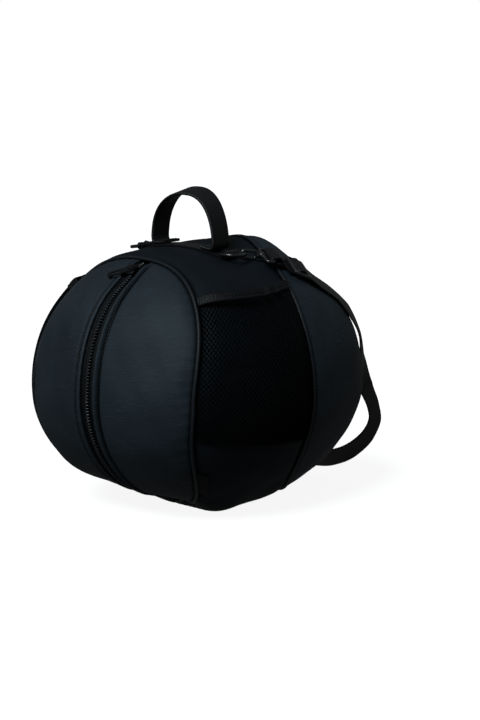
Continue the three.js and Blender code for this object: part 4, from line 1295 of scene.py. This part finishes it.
class BAG_OT_shoulder_strap(bpy.types.Operator):
    """Hang the shoulder strap from its hooks and model its adjuster"""
    bl_idname = "bag.shoulder_strap"
    bl_label = "Shoulder Strap"

    def execute(self, context):
        along, across, up, origin = adjuster_frame()
        weave = ADJUSTER_THICK / 2 + GAP + WEBBING_THICK / 2
        through = np.array([origin + a * along + h * weave * up for a, h in STRAP_WEAVE])
        through_wide = np.tile(-across, (len(through), 1))
        halves = []
        for _, side in SIDES:
            end, wide = strap_end(side)
            run, turn = strap_run(side)
            if side > 0:
                end, wide = np.vstack([end, through]), np.vstack([-wide, through_wide])
            fine = curve_through(np.vstack([end, run[:1]]), 4)
            wide = spread_rows(np.vstack([wide, turn[:1]]), len(fine))
            halves.append((np.vstack([fine, run[1:]]), np.vstack([wide, turn[1:]])))
        points, wide = (np.vstack([right, left[-2::-1]]) for right, left in zip(*halves))
        strap, length = ribbon("strap_webbing", points, unit(wide), WEBBING, WEBBING_THICK)
        dressed(strap, "Strap Webbing", "webbing", "shoulder_strap")
        plate = block("strap_adjuster", (ADJUSTER_LENGTH, ADJUSTER_WIDTH, ADJUSTER_THICK))
        round_cornered(plate, 2.2, 5)
        for end in (-1, 1):
            carved(plate, block("window", (6, WEBBING + 1.4, 8), (end * 4.5, 0, 0)))
        bevelled(plate, 0.55)
        dressed(placed(plate, along, across, up, origin), "Fitting Plastic", "hardware", "strap_slider")
        return {"FINISHED"}


# Tab and sewing
class BAG_OT_tab(bpy.types.Operator):
    """Fold the bare tab that is sewn in beside the front piping"""
    bl_idname = "bag.tab"
    bl_label = "Tab"

    def execute(self, context):
        angle = np.radians(np.linspace(*TAB_ANGLES, 30))[:, None]
        back = np.linspace(0, 1, 14)[None, :]
        ray = direction(angle, seam_swing(FRONT, angle, SEAM_SIDE + 0.2) + back * TAB_DEPTH / HALF_WIDTH)
        puff = TAB_THICK + 0.5 * np.sqrt(np.clip(1 - (1.9 * back - 1) ** 2, 0, 1)) - 0.5
        tab = cloth_plate("bare_tab", skin_point(ray, GAP + puff), skin_point(ray, GAP))
        dressed(tab, "Tab Weave", "label", "label_tab")
        return {"FINISHED"}


class BAG_OT_sewing(bpy.types.Operator):
    """Sew the rows of stitches beside the zip, on the hems and at the handle's feet"""
    bl_idname = "bag.sewing"
    bl_label = "Sewing"

    def execute(self, context):
        height = context.scene.bag_sizes.pucker * 1000
        across = np.linspace(0.01, 0.99, 200)
        up = np.full(200, 1 - HEM_SHARE * (1 - HEM_STITCH))
        lift = WEBBING_THICK + STRIP_LIFT + GAP + HANDLE_THICK + 0.15
        zip_lines, hem_lines, foot_lines = [], [], []
        for _, side in SIDES:
            outer, _, _ = gore_surface(side, height)
            from_fold = np.linalg.norm(outer[GORE_COLUMNS // 2] - outer[GORE_COLUMNS // 2, :1], axis=-1)
            zip_lines.append(outer[6:-6, int(np.argmin(np.abs(from_fold - ZIP_STITCH_AWAY)))])
            hem_lines.append(pocket_point(side, across, up, HEM_THICK - 0.75))
            x = side * np.linspace(HANDLE_HALF - 14, HANDLE_HALF - 7, 8)
            foot_lines += [top_point(x, HANDLE_Y + y, lift) for y in (-8.5, 8.5)]
            y = HANDLE_Y + np.linspace(-8.5, 8.5, 9)
            foot_lines += [top_point(side * x, y, lift) for x in (HANDLE_HALF - 14, HANDLE_HALF - 8)]
        pitch = context.scene.bag_sizes.stitch * 1000
        for word, lines, slot in (
            ("zip", zip_lines, "shell_cloth"), ("hem", hem_lines, "binding"), ("handle", foot_lines, "webbing"),
        ):
            rows = []
            for line in lines:
                line = evenly(line, pitch)
                rows.append((line, np.tile([0, 0, 1.0], (len(line), 1)) if word == "handle" else from_centre(line)))
            dressed(stitches(f"stitches_{word}", rows), "Sewing Thread", slot)
        return {"FINISHED"}


# Stage
class BAG_OT_stage(bpy.types.Operator):
    """Set the pale floor, the soft light and the camera at the photograph's angle"""
    bl_idname = "bag.stage"
    bl_label = "Stage"

    def execute(self, context):
        middle = Vector((0, 0, CENTRE_HEIGHT / 1000))
        self.floor(context)
        self.lights(context, middle)
        scene = context.scene
        scene.view_settings.view_transform = "Standard"
        bpy.ops.object.camera_add(location=middle + scene.bag_sizes.camera_away * VIEW_BACK)
        camera = scene.camera = context.object
        camera.data.sensor_width, camera.data.lens = 36, LENS
        aim = middle + AIM_RIGHT * VIEW_RIGHT + AIM_UP * VIEW_UP
        camera.rotation_euler = (camera.location - aim).to_track_quat("Z", "Y").to_euler()
        return {"FINISHED"}

    def floor(self, context):
        deselect()
        bpy.ops.mesh.primitive_plane_add(size=60, location=(0, 0, -0.0004))
        floor = context.object
        floor.name = floor.data.name = "floor"
        pale = bpy.data.materials.new("Pale Floor")
        pale.use_nodes = True
        wire(pale.node_tree, pale.node_tree.nodes["Principled BSDF"], {
            "Base Color": (0.25, 0.25, 0.25, 1), "Roughness": 0.9, "Specular IOR Level": 0.1,
            "Emission Color": (1, 1, 1, 1), "Emission Strength": FLOOR_GLOW,
        })
        floor.data.materials.append(pale)
        floor.visible_diffuse = floor.visible_glossy = False

    def lights(self, context, middle):
        for name, (right, up, back), strength, spread in SUNS:
            way = right * VIEW_RIGHT + up * VIEW_UP + back * VIEW_BACK
            bpy.ops.object.light_add(type="SUN", location=middle + 2 * way.normalized())
            light = context.object
            light.name = name
            light.data.energy, light.data.angle, light.data.color = strength, spread, SUN_COLOUR
            light.rotation_euler = way.to_track_quat("Z", "Y").to_euler()
        world = context.scene.world = context.scene.world or bpy.data.worlds.new("Studio")
        world.use_nodes = True
        tree = world.node_tree
        tree.nodes.clear()
        white = (1, 1, 1, 1)
        lit = new_node(tree, "Background", {"Color": white, "Strength": WORLD_LIGHT})
        seen = new_node(tree, "Background", {"Color": white, "Strength": 1})
        path = new_node(tree, "LightPath")
        mix = new_node(tree, "MixShader", {0: path.outputs["Is Camera Ray"], 1: lit.outputs[0], 2: seen.outputs[0]})
        new_node(tree, "OutputWorld", {"Surface": mix.outputs[0]})


class BAG_PT_tools(bpy.types.Panel):
    """The bag's settings and pieces in the sidebar"""
    bl_idname = "BAG_PT_tools"
    bl_label = "Ball Bag"
    bl_space_type = "VIEW_3D"
    bl_region_type = "UI"
    bl_category = "Ball Bag"

    def draw(self, context):
        for settings in (context.scene.bag_sizes, context.scene.bag_finish):
            for name in settings.__annotations__:
                self.layout.prop(settings, name)
        for operator in OPERATORS:
            self.layout.operator(operator.bl_idname)


OPERATORS = (
    BAG_OT_stage, BAG_OT_front_dome, BAG_OT_back_dome, BAG_OT_band, BAG_OT_piping, BAG_OT_zip,
    BAG_OT_zip_slider, BAG_OT_pockets, BAG_OT_handle, BAG_OT_rings, BAG_OT_hooks,
    BAG_OT_shoulder_strap, BAG_OT_tab, BAG_OT_sewing,
)
CLASSES = (BagSizes, BagFinish, *OPERATORS, BAG_PT_tools)


def register():
    for cls in CLASSES:
        bpy.utils.register_class(cls)
    bpy.types.Scene.bag_sizes = PointerProperty(type=BagSizes)
    bpy.types.Scene.bag_finish = PointerProperty(type=BagFinish)


def unregister():
    del bpy.types.Scene.bag_finish
    del bpy.types.Scene.bag_sizes
    for cls in reversed(CLASSES):
        bpy.utils.unregister_class(cls)


def main():
    """Builds the bag piece by piece."""
    register()
    bpy.ops.bag.stage()
    bpy.ops.bag.front_dome()
    bpy.ops.bag.back_dome()
    bpy.ops.bag.band()
    bpy.ops.bag.piping()
    bpy.ops.bag.zip()
    bpy.ops.bag.zip_slider()
    bpy.ops.bag.pockets()
    bpy.ops.bag.handle()
    bpy.ops.bag.rings()
    bpy.ops.bag.hooks()
    bpy.ops.bag.shoulder_strap()
    bpy.ops.bag.tab()
    bpy.ops.bag.sewing()


if __name__ == "__main__":
    main()
